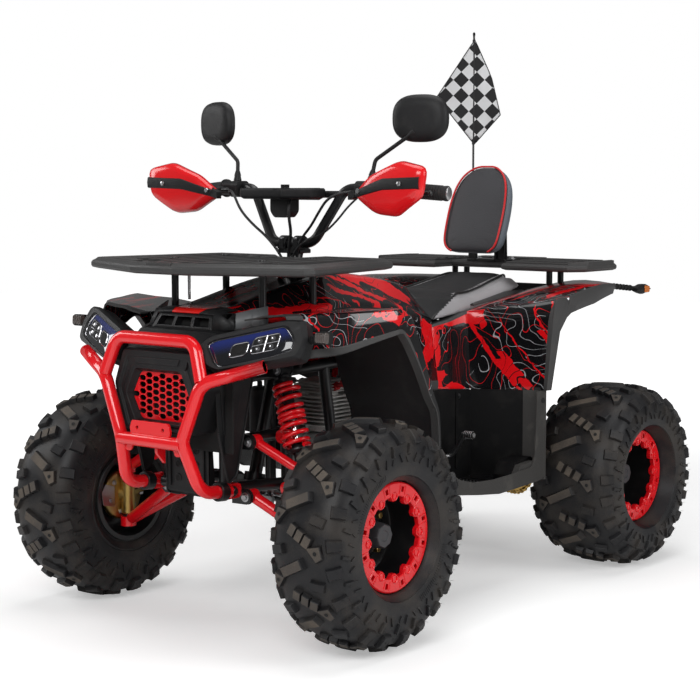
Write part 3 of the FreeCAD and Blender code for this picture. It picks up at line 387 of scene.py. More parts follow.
def wishbone(work, pivot, reach, ball, radius, low, high):
    """Two tubes from bushes at reach either side of the pivot to a socket round the ball, and a web."""
    for side in (-1, 1):
        start = pivot + at(0, side * (reach - 16), 0)
        tube(work, [start, start.lerp(ball, 0.93)], radius, sides=18)
        tube(work, [pivot + at(0, side * (reach - 26), 0), pivot + at(0, side * reach, 0)], 15, sides=24)
        tube(work, [pivot + at(0, side * (reach - 2), 0), pivot + at(0, side * (reach + 0.4), 0)], 17,
             sides=24, paint=1)
    tube(work, [at(ball.x, ball.y, low), at(ball.x, ball.y, high)], 18, sides=28)
    tube(work, [at(ball.x, ball.y, low - 3), at(ball.x, ball.y, low)], 13, sides=24, paint=1)
    tube(work, [at(ball.x, ball.y, high), at(ball.x, ball.y, high + 3)], 13, sides=24, paint=1)
    near, far = pivot.lerp(ball, 0.62), pivot.lerp(ball, 0.96)
    rib = [at(near.x, near.y - reach * 0.34, near.z + 3), at(near.x, near.y + reach * 0.34, near.z + 3),
           at(far.x, far.y + 9, far.z + 3), at(far.x, far.y - 9, far.z + 3)]
    loft(work, [rib, [corner - at(0, 0, 6) for corner in rib]])


rubber_black = plain("black rubber", (0.009, 0.009, 0.009), 0.6, 0.6, 0.06, specular_ior_level=0.25)
work = bmesh.new()
kingpin = 325.0
steering_arm = 52.0
wishbone(work, lower_pivot, 74, at(kingpin, front_axle, 179), 12.5, 168, 190)
wishbone(work, upper_pivot, 62, at(kingpin, front_axle, 305), 10.5, 294, 316)
brace_low = at(206, front_axle - 34, 362), at(206, front_axle + 34, 362)
tube(work, brace_low, 6, paint=2)
for side in (-1, 1):
    plate_y = front_axle + side * 20
    slab(work, [(188, 350), (214, 336), (222, 352), (214, 374), (198, 376)], "y", plate_y - 2.5,
         plate_y + 2.5)
    bolt(work, at(206, front_axle + side * 22.5, 362), at(0, side, 0), 7, 2)
piece("wishbones", work, [red_steel, rubber_black, zinc_grey], "chassis", ["suspension_arms"], "red_steel",
      bevel=0.8, both=True)


def spring(work, top, low, high_gap, low_gap, radius, wire, turns):
    """A wound wire that ends high_gap and low_gap short of the two eyes, with closer turns at its ends."""
    way = (low - top).normalized()
    side = way.cross(at(0.3, 1, 0)).normalized()
    other = way.cross(side)
    length = (low - top).length
    start, reach = high_gap + wire, length - low_gap - high_gap - 2 * wire
    line = []
    for i in range(turns * 24 + 1):
        share = i / (turns * 24)
        eased = share + 0.045 * math.sin(4 * math.pi * share - math.pi) / 1.5
        angle = 2 * math.pi * turns * share
        out = side * math.cos(angle) + other * math.sin(angle)
        line.append(top + way * (start + reach * eased) + out * (radius - wire))
    tube(work, line, wire, sides=12)


work = bmesh.new()
spring(work, shock_top, shock_low, 30, 38, 31.0, 4.9, 9)
piece("front_springs", work, [red_steel], "chassis", ["springs"], "red_steel", both=True)
rear_shock_top, rear_shock_low = at(0, 236, 540), at(0, 386, 322)
work = bmesh.new()
spring(work, rear_shock_top, rear_shock_low, 32, 34, 30.0, 5.4, 6)
piece("rear_spring", work, [red_steel], "chassis", slot="red_steel")

bright_rod = plain("chromed rod", (0.72, 0.72, 0.73), 0.1, 0.05, metallic=1.0)


def damper(work, top, low, eye_way, high_gap, low_gap, radius):
    """Eyes with their bushes, cups for the spring, threaded body and bright rod."""
    way = (low - top).normalized()
    length = (low - top).length
    for place in (top, low):
        spun(work, [(-13, 5.5), (-13, 12), (13, 12), (13, 5.5)], place, eye_way, 28)
        spun(work, [(-13.4, 5.2), (-13.4, 9), (13.4, 9), (13.4, 5.2)], place, eye_way, 24, 2)
    body_end = length * 0.5
    spun(work, [(9, 9), (14, 15), (20, 15), (high_gap - 8, 17)], top, way, 28, closed=False)
    spun(work, [(high_gap - 8, radius), (high_gap - 2, radius + 2), (high_gap, radius + 2), (high_gap, 12.4),
                (high_gap - 8, 12.4)], top, way, 36)
    threads = [(high_gap, 12.5)]
    for i in range(int((body_end - high_gap) / 4)):
        threads += [(high_gap + 4 * i + 1, 12.5), (high_gap + 4 * i + 3, 11.6)]
    spun(work, threads + [(body_end, 12.5), (body_end + 5, 9.5)], top, way, 28, closed=False)
    spun(work, [(body_end, 6.4), (length - low_gap + 2, 6.4)], top, way, 24, 1, closed=False)
    spun(work, [(length - low_gap - 14, 7), (length - low_gap - 12, 12), (length - low_gap, 13)], top, way,
         24, 2, closed=False)
    spun(work, [(length - low_gap, radius + 2), (length - low_gap + 3, radius + 2),
                (length - low_gap + 8, radius - 3), (length - low_gap + 9, 12), (length - 10, 10)], top,
         way, 36, closed=False)


work = bmesh.new()
damper(work, shock_top, shock_low, along_y, 30, 38, 24.0)
piece("front_dampers", work, [black_steel, bright_rod, rubber_black], "chassis", ["dampers"], "steel",
      both=True)
work = bmesh.new()
damper(work, rear_shock_top, rear_shock_low, along_x, 32, 34, 30.0)
piece("rear_damper", work, [black_steel, bright_rod, rubber_black], "chassis", slot="steel")

# Steered knuckles: a forged upright with the wheel spindle, a steering arm that points back and the brake's
# backing plate, in yellow zinc. The tie rods have ball ends at the arm and at the pitman arm.
yellow_zinc = plain("yellow zinc", (0.5, 0.34, 0.11), 0.34, 0.6, 0.3, metallic=1.0)
hub = at(392, front_axle, 241)
work = bmesh.new()
foot = at(kingpin, front_axle, 0)
spun(work, [(196, 13), (199, 16), (285, 16), (288, 13)], foot, along_z, 28, closed=False)
spun(work, [(170, 6), (171, 8), (313, 8), (314, 6)], foot, along_z, 20, 1, closed=False)
spun(work, [(0, 17), (22, 24), (30, 24), (36, 20)], at(kingpin, front_axle, 241), along_x, 32, closed=False)
spun(work, [(-55, 12), (-52, 54), (-49, 58), (-44, 60), (-40, 60), (-40, 14)], hub, along_x, 56)
for turn in turns(6, 0.25):
    bolt(work, hub + around(-53, 42, turn), -along_x, 4.5, 1)
slab(work, [(front_axle - 66, 222), (front_axle - 30, 214), (front_axle - 30, 262), (front_axle - 58, 270),
            (front_axle - 70, 252)], "x", 338, 360, 1)
spun(work, [(-34, 12), (22, 12), (24, 10)], hub, along_x, 28, 1, closed=False)
tie_stud = at(340, front_axle + steering_arm, 262)
slab(work, [(tie_stud.x - 11, tie_stud.y + 8), (tie_stud.x - 6, tie_stud.y + 13),
            (tie_stud.x + 6, tie_stud.y + 13), (tie_stud.x + 11, tie_stud.y + 8),
            (kingpin + 14, front_axle), (kingpin - 14, front_axle)], "z", 241, 251)
spun(work, [(240, 5), (277, 5), (278, 4)], at(tie_stud.x, tie_stud.y, 0), along_z, 16, 1, closed=False)
spun(work, [(233, 8.5), (241, 8.5)], at(tie_stud.x, tie_stud.y, 0), along_z, 6, 1, closed=False)
knuckle = piece("knuckle_and_brake_left", work, [yellow_zinc, zinc_grey], "knuckle_left", ["knuckle_left"],
                "zinc", bevel=1.0)
other_side(knuckle, "knuckle_and_brake_right", "knuckle_right", ["knuckle_right"])

pitman_way = at(0, column_way.z, -column_way.y)
tie_pivot = column_low + pitman_way * steering_arm + at(15, 0, 0) + column_way * 22
bright_steel = plain("bright steel", (0.55, 0.55, 0.56), 0.24, 0.4, 0.15, metallic=1.0)
work = bmesh.new()
spun(work, [(-8, 5.4), (-8, 9), (-5, 12), (5, 12), (8, 9), (8, 5.4)], tie_pivot, column_way, 28)
spun(work, [(-8, 6.6), (-8, 11), (-5, 14), (5, 14), (8, 11), (8, 6.6)], tie_stud, along_z, 28)
link = (tie_stud - tie_pivot).normalized()
reach = (tie_stud - tie_pivot).length
spun(work, [(10, 6), (38, 7), (40, 5.5)], tie_pivot, link, 20, closed=False)
spun(work, [(reach - 40, 5.5), (reach - 38, 7), (reach - 12, 6)], tie_pivot, link, 20, closed=False)
spun(work, [(34, 5.6), (reach - 34, 5.6)], tie_pivot, link, 20, closed=False)
for place in (40, reach - 46):
    spun(work, [(place, 9), (place + 6, 9)], tie_pivot, link, 6, closed=False)
tie_rod = piece("tie_rod_bar_left", work, [bright_steel], "tie_rod_left", ["tie_rod_left"], "black_steel",
                bevel=0.5)
other_side(tie_rod, "tie_rod_bar_right", "tie_rod_right", ["tie_rod_right"])

# Wheels: wide off-road tyres with alternating lugs on black steel rims. A red ring with twelve teeth is
# bolted over the outer bead, and a long hub cap stands in the dish.


def rubber(name):
    """Tyre rubber: fine mould grain, dust that settles in it, and a cloudy black."""
    tree, inputs, where = effect(name, {"Colour": (0.02, 0.02, 0.02, 1), "Dust Colour": (0.16, 0.13, 0.1, 1),
                                        "Dust": 0.3, "Roughness": 0.6, "Grain": 0.4})
    cloud = noise(tree, where, 14.0, 4.0)
    fine = noise(tree, where, 420.0, 2.0)
    grimy = ramp(tree, plus(tree, cloud, fine, 0.35), 0.58, 0.86)
    settled = maths(tree, "MULTIPLY", grimy, inputs["Dust"])
    colour = mixed(tree, settled, inputs["Colour"], inputs["Dust Colour"])
    rough = maths(tree, "ADD", inputs["Roughness"], maths(tree, "MULTIPLY", settled, 0.3), True)
    effect_gives(tree, {"Base Color": colour, "Roughness": rough,
                        "Normal": raised(tree, fine, inputs["Grain"], 0.0006)})
    return tree


tyre_rubber = rubber("tyre rubber")
carcass = finish("tyre carcass", tyre_rubber, {"Colour": (0.011, 0.011, 0.0125, 1), "Dust": 0.16,
                                               "Roughness": 0.46}, specular_ior_level=0.34)
worn_top = finish("worn lug tops", tyre_rubber, {"Colour": (0.062, 0.052, 0.044, 1), "Dust": 0.6,
                                                 "Roughness": 0.72, "Grain": 0.7})


def tyre(work, centre, radius, half_width, ring_offset, pairs):
    """A carcass with its tread: long and three-part bars by turns, side lugs, wall lugs and fine hairs."""
    crown, middle, power = radius - 10.5, 152.0, 3.2
    table = []
    for i in range(61):
        angle = math.pi / 2 * (1 - i / 60)
        across = half_width * max(math.cos(angle), 0) ** (2 / power)
        table.append((across, middle + (crown - middle) * math.sin(angle) ** (2 / power)))
    lengths = [0.0]
    for here, there in zip(table, table[1:]):
        lengths.append(lengths[-1] + math.dist(here, there))

    def surface(u, w, height):
        """A point above the carcass: u along its section from the middle, w around it."""
        i = 1
        while i < 59 and lengths[i + 1] < abs(u):
            i += 1
        share = (abs(u) - lengths[i]) / (lengths[i + 1] - lengths[i])
        x = table[i][0] + (table[i + 1][0] - table[i][0]) * share
        r = table[i][1] + (table[i + 1][1] - table[i][1]) * share
        dx, dr = table[i + 1][0] - table[i - 1][0], table[i + 1][1] - table[i - 1][1]
        long = math.hypot(dx, dr)
        sign = 1 if u >= 0 else -1
        reach = r + dx / long * height
        turn = w / crown
        return centre + at(sign * (x - dr / long * height), -reach * math.sin(turn), reach * math.cos(turn))

    def lug(corners, u, w, yaw, height, top=1, draft=0.84):
        """A block with sloping sides; its corners are (across, around) about its own middle."""
        c, s = math.cos(math.radians(yaw)), math.sin(math.radians(yaw))
        rings = []
        for level, grow in ((-2.5, 1.06), (height - 1.6, draft + 0.04), (height, draft - 0.03)):
            rings.append([surface(u + grow * (a * c - b * s), w + grow * (a * s + b * c), level)
                          for a, b in corners])
        loft(work, rings[:2])
        loft(work, rings[1:], caps=False)
        faced(work, rings[2], top)

    def bar(long, wide, parts=3):
        """An oblong lug's outline with parts steps along it, so that it bends with the tyre."""
        edge = [(long * (i / parts - 0.5), -wide / 2) for i in range(parts + 1)]
        return edge + [(a, -b) for a, b in edge[::-1]]

    outer = [(ring_offset - 12, 100), (ring_offset - 12, 116.5), (ring_offset + 2, 118),
             (ring_offset + 7, 121)]
    inner = [(half_width - 16, 100), (half_width - 16, 110), (half_width - 9, 118), (half_width - 4, 126)]
    wall = [(half_width - 5, 129), (half_width - 5.5, 130), (half_width - 3.5, 131), (half_width - 1.6, 140),
            (half_width - 0.4, 147)]
    side = [p for p in reversed(table[::3])]
    profile = [(-x, r) for x, r in inner + wall] + [(-x, r) for x, r in side[:-1]]
    profile += [(x, r) for x, r in table[::3]] + [(x, r) for x, r in (wall[::-1] + outer[::-1])]
    spun(work, profile, centre, along_x, 132)
    pitch = 2 * math.pi * crown / (2 * pairs)
    wide = half_width / 89.0
    for i in range(2 * pairs):
        w = pitch * i
        way = 1 if i % 2 else -1
        if way > 0:
            for part in (-1, 0, 1):
                lug(bar(19.5, 25, 1), 0.12 * half_width + part * 20.5 * wide * 0.9, w + part * 9.5, 25, 10.5)
        else:
            lug(bar(66 * wide, 23, 4), -0.1 * half_width, w, -25, 10.5)
        for hand in (-1, 1):
            u = hand * 46 * wide
            if way == hand:
                lug([(-17 * hand, -15), (15 * hand, -17), (17 * hand, 12), (4 * hand, 19)], u,
                    w + pitch * 0.48, -8 * hand, 9.5)
                # a near-black disc on the lug paints the shade of a small dimple
                spun(work, [(0.02, 4.2), (0.3, 3.9), (0.3, 0.05)],
                     surface(u + 3 * hand, w + pitch * 0.45, 9.5),
                     surface(u, w + pitch * 0.45, 12) - surface(u, w + pitch * 0.45, 9), 12, 2,
                     closed=False)
            else:
                lug(bar(32, 21, 2), u, w + pitch * 0.5, 14 * hand, 9.5, 0)
            lug(bar(33, 27, 3), hand * 83 * wide, w + pitch * (0.2 if way == hand else 0.12), -7 * hand,
                8.5, 0)
            lug(bar(24, 9, 2), hand * (86 * wide + 24), w + pitch * 0.66, 18 * hand, 5.5, 0)
            lug(bar(22, 5, 2), hand * (86 * wide + 40), w + pitch * 0.2, 30 * hand * way, 3.0, 0)
            lug(bar(16, 4, 1), hand * (86 * wide + 44), w + pitch * 0.78, -38 * hand * way, 2.4, 0)
            for share in (0.05, 0.36, 0.72):
                root = surface(hand * (84 * wide + 30 * share), w + pitch * share, 5.0)
                tip = surface(hand * (84 * wide + 30 * share), w + pitch * (share + 0.03), 12.5)
                tube(work, [root, root.lerp(tip, 0.6) + at(0, 0.6, 0.4), tip], [0.5, 0.4, 0.15], sides=4)
    for start in (0, 180):
        for i in range(26):
            turn = math.radians(start + 24 + 2.1 * i)
            for hand in (-1, 1):
                low = centre + at(hand * (half_width - 1.0), -141 * math.sin(turn), 141 * math.cos(turn))
                high = centre + at(hand * (half_width + 0.4), -152 * math.sin(turn), 152 * math.cos(turn))
                tube(work, [low, high], 0.9, sides=6)


# painted shade: a near-black finish for small recesses on the tyre and the lock ring's pockets
painted_shade_recess = plain("painted shade recess", (0.004, 0.004, 0.004), 0.7)
# dark red that paints the shade in the ring's bolt recesses
painted_shade_ring_bolt = plain("ring bolts in painted shade", (0.25, 0.01, 0.012), 0.3, metallic=0.4)
cap_plastic = plain("hub cap", (0.045, 0.046, 0.05), 0.4, 0.4)
brass = plain("brass nuts", (0.62, 0.42, 0.14), 0.25, metallic=1.0)


def rim(work, centre, half_width, ring_offset, dish, nuts, cap_reach):
    """Barrel, flange and dished centre with nuts round the hub cap."""
    bead, face = -half_width + 16, ring_offset - 12
    barrel = [(bead - 6, 95), (bead - 6, 106), (bead - 3, 107.5), (bead, 106), (bead + 2, 100), (face, 100),
              (face, 95), (dish + 12, 94), (dish + 4, 90), (dish, 82), (dish - 2, 66), (dish + 5, 54),
              (dish + 13, 46), (dish + 13, 16), (dish + 4, 16), (dish - 4, 46), (dish - 9, 66),
              (dish - 6, 86), (dish - 2, 95)]
    spun(work, barrel, centre, along_x, 96)
    for i in range(nuts):
        place = centre + around(dish + 9, 50, math.radians(360 / nuts * i + 40))
        spun(work, [(0, 8), (9, 8), (11, 6.5)], place, along_x, 6, 2, closed=False)
    spun(work, [(dish + 12, 33), (dish + 16, 30), (cap_reach - 4, 27), (cap_reach, 24), (cap_reach, 12),
                (cap_reach - 1.5, 11)], centre, along_x, 8, 1, closed=False)
    tube(work, [centre + at(face - 30, 70, 62), centre + at(face - 12, 66, 58)], 3.4, sides=14, paint=3)


def lock_ring(work, centre, offset):
    """The bolted ring: twelve teeth that point inward, a recessed bolt on each in dark red as painted shade,
    and a pocket between with a near-black floor of painted shade.
    """
    inner = ((-0.30, 85.5), (-0.19, 78), (-0.11, 75), (0.11, 75), (0.19, 78), (0.30, 85.5))
    columns = []
    for i in range(12):
        for j, (share, r) in enumerate(inner):
            low, high = math.radians(30 * (i + share)), math.radians(30 * (i + (j - 2.5) / 6))
            columns.append([(offset - 12, r, low), (offset - 2, r, low), (offset, r + 2, low),
                            (offset, 95, high), (offset, 106.5, high), (offset, 111.5, high),
                            (offset - 2.5, 114.6, high), (offset - 8, 115, high), (offset - 12, 115, high)])
    rows = [[work.verts.new(centre + at(x, r * math.sin(a), r * math.cos(a))) for x, r, a in column]
            for column in columns]
    for k, here in enumerate(rows):
        there = rows[(k + 1) % len(rows)]
        for j in range(9):
            n = (j + 1) % 9
            # the pocket between two teeth gets a near-black floor of painted shade
            if k % 6 == 5 and j == 3:
                floor = [work.verts.new(v.co - at(9, 0, 0)) for v in (here[j], here[n], there[n], there[j])]
                rim_loop = [here[j], here[n], there[n], there[j]]
                for p in range(4):
                    q = (p + 1) % 4
                    work.faces.new((rim_loop[p], rim_loop[q], floor[q], floor[p]))
                work.faces.new(floor).material_index = 1
            else:
                work.faces.new((here[j], here[n], there[n], there[j]))
    for i in range(12):
        turn = math.radians(30 * i)
        place = centre + at(offset, 86 * math.sin(turn), 86 * math.cos(turn))
        spun(work, [(-0.5, 9), (1.6, 8.6), (2.2, 7.6), (1.6, 6.4), (-3.5, 6)], place, along_x, 18, 0)
        # the hex head in each recess is dark red as painted shade
        spun(work, [(-3, 6.2), (-2.8, 6), (-2.4, 3.2)], place, along_x, 6, 2, closed=False)
        for hand in (-1, 1):
            near = turn + hand * math.radians(9.4)
            edge = [centre + at(offset - 0.4, r * math.sin(near + hand * lean),
                                r * math.cos(near + hand * lean)) for r, lean in ((90, 0), (109, 0.012))]
            tube(work, edge, [1.5, 2.0], sides=8)


for end, place, radius, half_width, ring_at, dish, nuts, cap in (
        ("front", hub, 241.0, 89.0, 66.0, -20.0, 4, 41.0),
        ("rear", at(347, rear_axle, 228.5), 228.5, 117.5, 78.0, -18.0, 4, 44.0)):
    body = "front_wheel_left" if end == "front" else "rear_axle"
    other = "front_wheel_right" if end == "front" else "rear_axle"
    work = bmesh.new()
    tyre(work, place, radius, half_width, ring_at, 11)
    made = piece(end + "_tread_left", work, [carcass, worn_top, painted_shade_recess], body, [end + "_tyre_left"], "tyre",
                 smooth=30)
    other_side(made, end + "_tread_right", other, [end + "_tyre_right"])
    work = bmesh.new()
    rim(work, place, half_width, ring_at, dish, nuts, cap)
    made = piece(end + "_dish_left", work, [black_steel, cap_plastic, brass, rubber_black], body,
                 [end + "_rim_left"] if end == "front" else ["rear_rims"], "black_steel", bevel=0.6)
    other_side(made, end + "_dish_right", other, [end + "_rim_right"] if end == "front" else [])
    work = bmesh.new()
    lock_ring(work, place, ring_at)
    made = piece(end + "_lock_ring_left", work, [red_steel, painted_shade_recess, painted_shade_ring_bolt], body,
                 [end + "_ring_left"] if end == "front" else ["rear_rings"], "red_steel", bevel=0.7)
    other_side(made, end + "_lock_ring_right", other, [end + "_ring_right"] if end == "front" else [])


# Front bumper: glossy red 28 mm tube. Each upright and its wing are one bent tube, and the hoop is welded
# on at the shoulder. A cross tube carries a drilled plate, and flat lugs bolt to the frame under the
# skid plate.
gloss_red = plain("glossy red tube", (0.9, 0.008, 0.014), 0.12, 0.06, coat_weight=0.6, coat_roughness=0.04)
matt_plastic = plain("grained black plastic", (0.011, 0.011, 0.012), 0.42, 0.9, 0.03, specular_ior_level=0.32)
grey_plastic = plain("dark grey plastic", (0.052, 0.051, 0.051), 0.4, 0.8, 0.04, specular_ior_level=0.35)
# painted reflection: pale grey standing for the light that black plastic facets reflect
painted_reflection_grey = plain("painted reflection grey", (0.12, 0.125, 0.13), 0.42, 0.5)
# painted shade: a near-black finish laid in holes, openings and hollows where only shade falls
painted_shade_black = plain("unlit hollow", (0.003, 0.003, 0.003), 0.8)


def pierced(work, outline, holes, axis, low, high, paint=0):
    """A flat plate with holes, filled between its outer edge and theirs."""
    order = orders[axis]
    rows = [[work.verts.new(order(u, v, low)) for u, v in loop] for loop in [outline] + holes]
    edges = [work.edges.new((row[i], row[(i + 1) % len(row)])) for row in rows for i in range(len(row))]
    filled = bmesh.ops.triangle_fill(work, use_beauty=True, use_dissolve=False, edges=edges)["geom"]
    flat = [face for face in filled if isinstance(face, bmesh.types.BMFace)]
    lift = Vector(order(0, 0, high - low))
    above = {vert: work.verts.new(vert.co + lift) for row in rows for vert in row}
    made = flat + [work.faces.new([above[vert] for vert in reversed(face.verts)]) for face in flat]
    for row in rows:
        for here, there in zip(row, row[1:] + row[:1]):
            made.append(work.faces.new((here, there, above[there], above[here])))
    for face in made:
        face.material_index = paint


def round_hole(u, v, radius, sides=20, stretch=1.0):
    """A round outline; stretch widens it along u."""
    return [(u + stretch * radius * math.cos(2 * math.pi * k / sides),
             v + radius * math.sin(2 * math.pi * k / sides)) for k in range(sides)]


def mirrored(outline):
    """A closed outline from its left half."""
    return list(outline) + [(-u, v) for u, v in reversed(outline)]


def rounded(outline, radius, count=5):
    """The same outline with round corners."""
    made = []
    for i, corner in enumerate(outline):
        here = Vector(corner)
        back, on = Vector(outline[i - 1]) - here, Vector(outline[(i + 1) % len(outline)]) - here
        cut = min(radius, 0.45 * back.length, 0.45 * on.length)
        start, end = here + back.normalized() * cut, here + on.normalized() * cut
        for k in range(count + 1):
            t = k / count
            made.append(tuple(start * (1 - t) ** 2 + here * (2 * t * (1 - t)) + end * t ** 2))
    return made


def oblong(u0, v0, u1, v1, radius, count=5):
    """An oblong with round corners, given by two opposite corners."""
    return rounded([(u0, v0), (u1, v0), (u1, v1), (u0, v1)], radius, count)


bumper_tube = 14.0
work = bmesh.new()
tube(work, [at(264, -700, 594), at(141, -757, 555), at(90, -762, 430), at(110, -728, 322),
            at(110, -640, 314)], bumper_tube, 46, sides=32, step=5)
slab(work, oblong(-662, 298, -610, 330, 12), "x", 98, 116)
bolt(work, at(117, -636, 314), along_x, 8, 1)
spun(work, [(0, 14), (0.5, 13.4), (0.5, 11.6), (-2, 11.4), (-2, 0.1)], at(264, -700, 594), at(123, 57, 39),
     32)
spun(work, [(-11, 14.2), (-11, 20), (11, 20), (11, 14.2)], at(110, -668, 316.6), at(0, 1, -0.08), 28, 1)
bumper_finishes = [gloss_red, black_steel, zinc_grey]
piece("bumper_uprights", work, bumper_finishes, "chassis", ["front_bumper"], "red_steel", bevel=1.2,
      both=True, smooth=50)
work = bmesh.new()
tube(work, [at(-142, -757, 559), at(-114, -747, 638), at(114, -747, 638), at(142, -757, 559)], bumper_tube,
     36, sides=32, step=5)
tube(work, [at(-93, -763, 425), at(93, -763, 425)], bumper_tube, sides=32)
drilled = rounded([(54, 430), (60, 448), (54, 466), (-54, 466), (-60, 448), (-54, 430)], 6)
pierced(work, drilled, [round_hole(38, 451, 4.2), round_hole(-38, 451, 4.2)], "y", -766, -760)
for side in (-1, 1):
    slab(work, rounded([(side * 60, 411), (side * 88, 411), (side * 80, 398), (side * 66, 398)], 4), "y",
         -758, -753)
slab(work, rounded([(-724, 408), (-748, 414), (-748, 398), (-724, 372)], 4), "x", -4, 4)
piece("bumper_hoop", work, bumper_finishes, "chassis", slot="red_steel", bevel=1.0, smooth=50)

# Skid plate: 4 mm steel, folded up at the front and at both sides, with round drain holes. Matt black coat.
work = bmesh.new()
skid_line = [(-655, 418), (-655, 304), (-648, 294), (-560, 282)]
for (y0, z0), (y1, z1) in zip(skid_line, skid_line[1:]):
    loft(work, [[(x, y, z) for x in (-64, -50, 50, 64)] + [(x, y + 2.5, z + 3.2) for x in (64, 50, -50, -64)]
                for y, z in ((y0, z0), (y1, z1))])
for side in (-1, 1):
    slab(work, rounded([(-656, 300), (-656, 414), (-644, 414), (-636, 318), (-566, 296), (-560, 281),
                        (-648, 294)], 3), "x", *sorted((side * 60, side * 64)))
    tube(work, [at(side * 50, -657, 408), at(side * 50, -657, 312)], 2.6, sides=12)
# each drain hole has a near-black floor of painted shade
for z in (330, 362, 394):
    for side in (-1, 1):
        spun(work, [(0, 9), (1.2, 9), (1.2, 6.5), (0.4, 6)], at(side * 26, -655, z), at(0, -1, 0), 24)
        spun(work, [(0.3, 6.2), (0.6, 0.1)], at(side * 26, -655, z), at(0, -1, 0), 24, 1, closed=False)
piece("folded_skid_plate", work, [matt_plastic, painted_shade_black], "chassis", ["skid_plate"], "black_steel",
      bevel=0.8)

# Grille: a red pressed mesh with rows of flat hexagons, clamped behind the mouth of the nose.
mouth_edge = [(87, 516), (61, 566), (-61, 566), (-87, 516), (-60, 465), (60, 465)]


def inside(u, v, outline, margin):
    """Whether a point lies in the outline and at least margin from each edge of it."""
    signs = []
    for (a, b), (c, d) in zip(outline, outline[1:] + outline[:1]):
        signs.append(((c - a) * (v - b) - (d - b) * (u - a)) / math.hypot(c - a, d - b))
    return all(s > margin for s in signs) or all(s < -margin for s in signs)


work = bmesh.new()
mesh_edge = [(u * 1.07, 516 + (v - 516) * 1.1) for u, v in mouth_edge]
cells = []
for column in range(-5, 6):
    for row in range(-6, 6):
        u, v = column * 19.6, 516 + 14.2 * (row + (0.5 if column % 2 else 0))
        if inside(u, v, mesh_edge, 7.5):
            cells.append(rounded([(u - 10.6, v), (u - 6.0, v + 5.4), (u + 6.0, v + 5.4), (u + 10.6, v),
                                  (u + 6.0, v - 5.4), (u - 6.0, v - 5.4)], 3.0, 2))
pierced(work, mesh_edge, cells, "y", -728, -724)
piece("hexagon_mesh", work, [red_steel], "chassis", ["grille_mesh"], "red_plastic", bevel=0.9, segments=1)

# Nose: black grained plastic. A stepped surround frames the mouth, a ledge lies above it and the vent box
# on the ledge has three deep openings and a red accent on its roof. Triangular shields close the sides.


def between(outer, inner, share):
    """The outline at a share of the way from outer to inner."""
    return [(a + (c - a) * share, b + (d - b) * share) for (a, b), (c, d) in zip(outer, inner)]


work = bmesh.new()
outer_edge = [(130, 540), (102, 614), (-102, 614), (-130, 540), (-98, 440), (98, 440)]
steps = [(0.0, -668), (0.0, -738), (0.06, -744), (0.3, -744), (0.36, -739), (0.58, -738), (0.64, -743),
         (0.84, -743), (0.94, -733), (1.0, -729), (1.02, -712), (0.7, -704), (0.3, -668)]
loft(work, [[at(u, y, v) for u, v in rounded(between(outer_edge, mouth_edge, share), 9, 3)]
            for share, y in steps], loop=True)
slab(work, [(84, 578), (92, 603), (-92, 603), (-84, 578)], "y", -743.5, -737)
slab(work, [(62, 584), (68, 598), (-68, 598), (-62, 584)], "y", -745.5, -742)
# two near-black plates of painted shade: a small one behind the lower mouth and a large one behind the whole
# nose
slab(work, [(46, 474), (52, 496), (40, 500), (-40, 500), (-52, 496), (-46, 474)], "y", -716, -712, 1)
slab(work, [(150, 400), (150, 600), (-150, 600), (-150, 400)], "y", -672, -668, 1)
piece("nose_surround", work, [matt_plastic, painted_shade_black], "chassis", ["nose_fairing"], "dark_plastic",
      bevel=1.6)

work = bmesh.new()
ledge = [(-736, 608), (-722, 626), (-694, 647), (-686, 654), (-640, 656), (-640, 604), (-734, 604)]
rows = []
for x, drop, back in ((-128, 10, 26), (-112, 2, 6), (-98, 0, 0), (98, 0, 0), (112, 2, 6), (128, 10, 26)):
    rows.append([at(x, y + back, z - drop) for y, z in ledge])
loft(work, rows)
piece("nose_ledge", work, [matt_plastic], "chassis", slot="dark_plastic", bevel=3.0)


def on_vent(u, v, deep=0.0):
    """A point of the vent's face: u across in mm, v from its foot (0) to its top (1)."""
    return at(u * (1 - 0.11 * v), -668 + 14 * v + deep, 655 + 29 * v)


work = bmesh.new()
borders = [-88, -78, -32, -24, 24, 32, 78, 88]
levels = [-0.06, 0.16, 0.84, 1.06]
for i, (left, right) in enumerate(zip(borders, borders[1:])):
    for j, (low, high) in enumerate(zip(levels, levels[1:])):
        ring = [(left, low), (right, low), (right, high), (left, high)]
        front = [on_vent(u, v) for u, v in ring]
        # the back of each opening is painted shade in near black
        if i % 2 and j == 1:
            back = [on_vent(u * 0.99, v, 20) for u, v in ring]
            loft(work, [front, back], caps=False)
            faced(work, back, 1)
        else:
            faced(work, front)
roof = [[at(-82, -656, 686), at(-40, -656, 688), at(40, -656, 688), at(82, -656, 686)],
        [at(-92, -640, 692), at(-46, -640, 695), at(46, -640, 695), at(92, -640, 692)],
        [at(-100, -600, 694), at(-52, -600, 698), at(52, -600, 698), at(100, -600, 694)]]
for near, far in zip(roof, roof[1:]):
    for i in range(3):
        faced(work, [near[i], near[i + 1], far[i + 1], far[i]], 2 if i == 1 else 0)
for side in (-1, 1):
    faced(work, [at(side * 88, -668, 654), at(side * 82, -656, 686), at(side * 92, -640, 692),
                 at(side * 118, -628, 690), at(side * 126, -640, 656)])
    # two pale grey facets on each side are painted reflection on the black plastic
    for k, (near, far) in enumerate(((118, 132), (132, 148))):
        y0, y1 = -628 + 34 * k, -594 + 34 * k
        faced(work, [at(side * (near + 8), y0 - 8, 656), at(side * near, y0, 690 + 7 * k),
                     at(side * far, y1, 697 + 6 * k), at(side * (far + 8), y1 - 8, 657)], 3)
accent = plain("red accent", (0.85, 0.012, 0.008), 0.22, 0.1, coat_weight=0.4)
made = piece("vent_box", work, [matt_plastic, painted_shade_black, accent, painted_reflection_grey], "chassis",
             slot="dark_plastic")
shell = made.modifiers.new("wall", "SOLIDIFY")
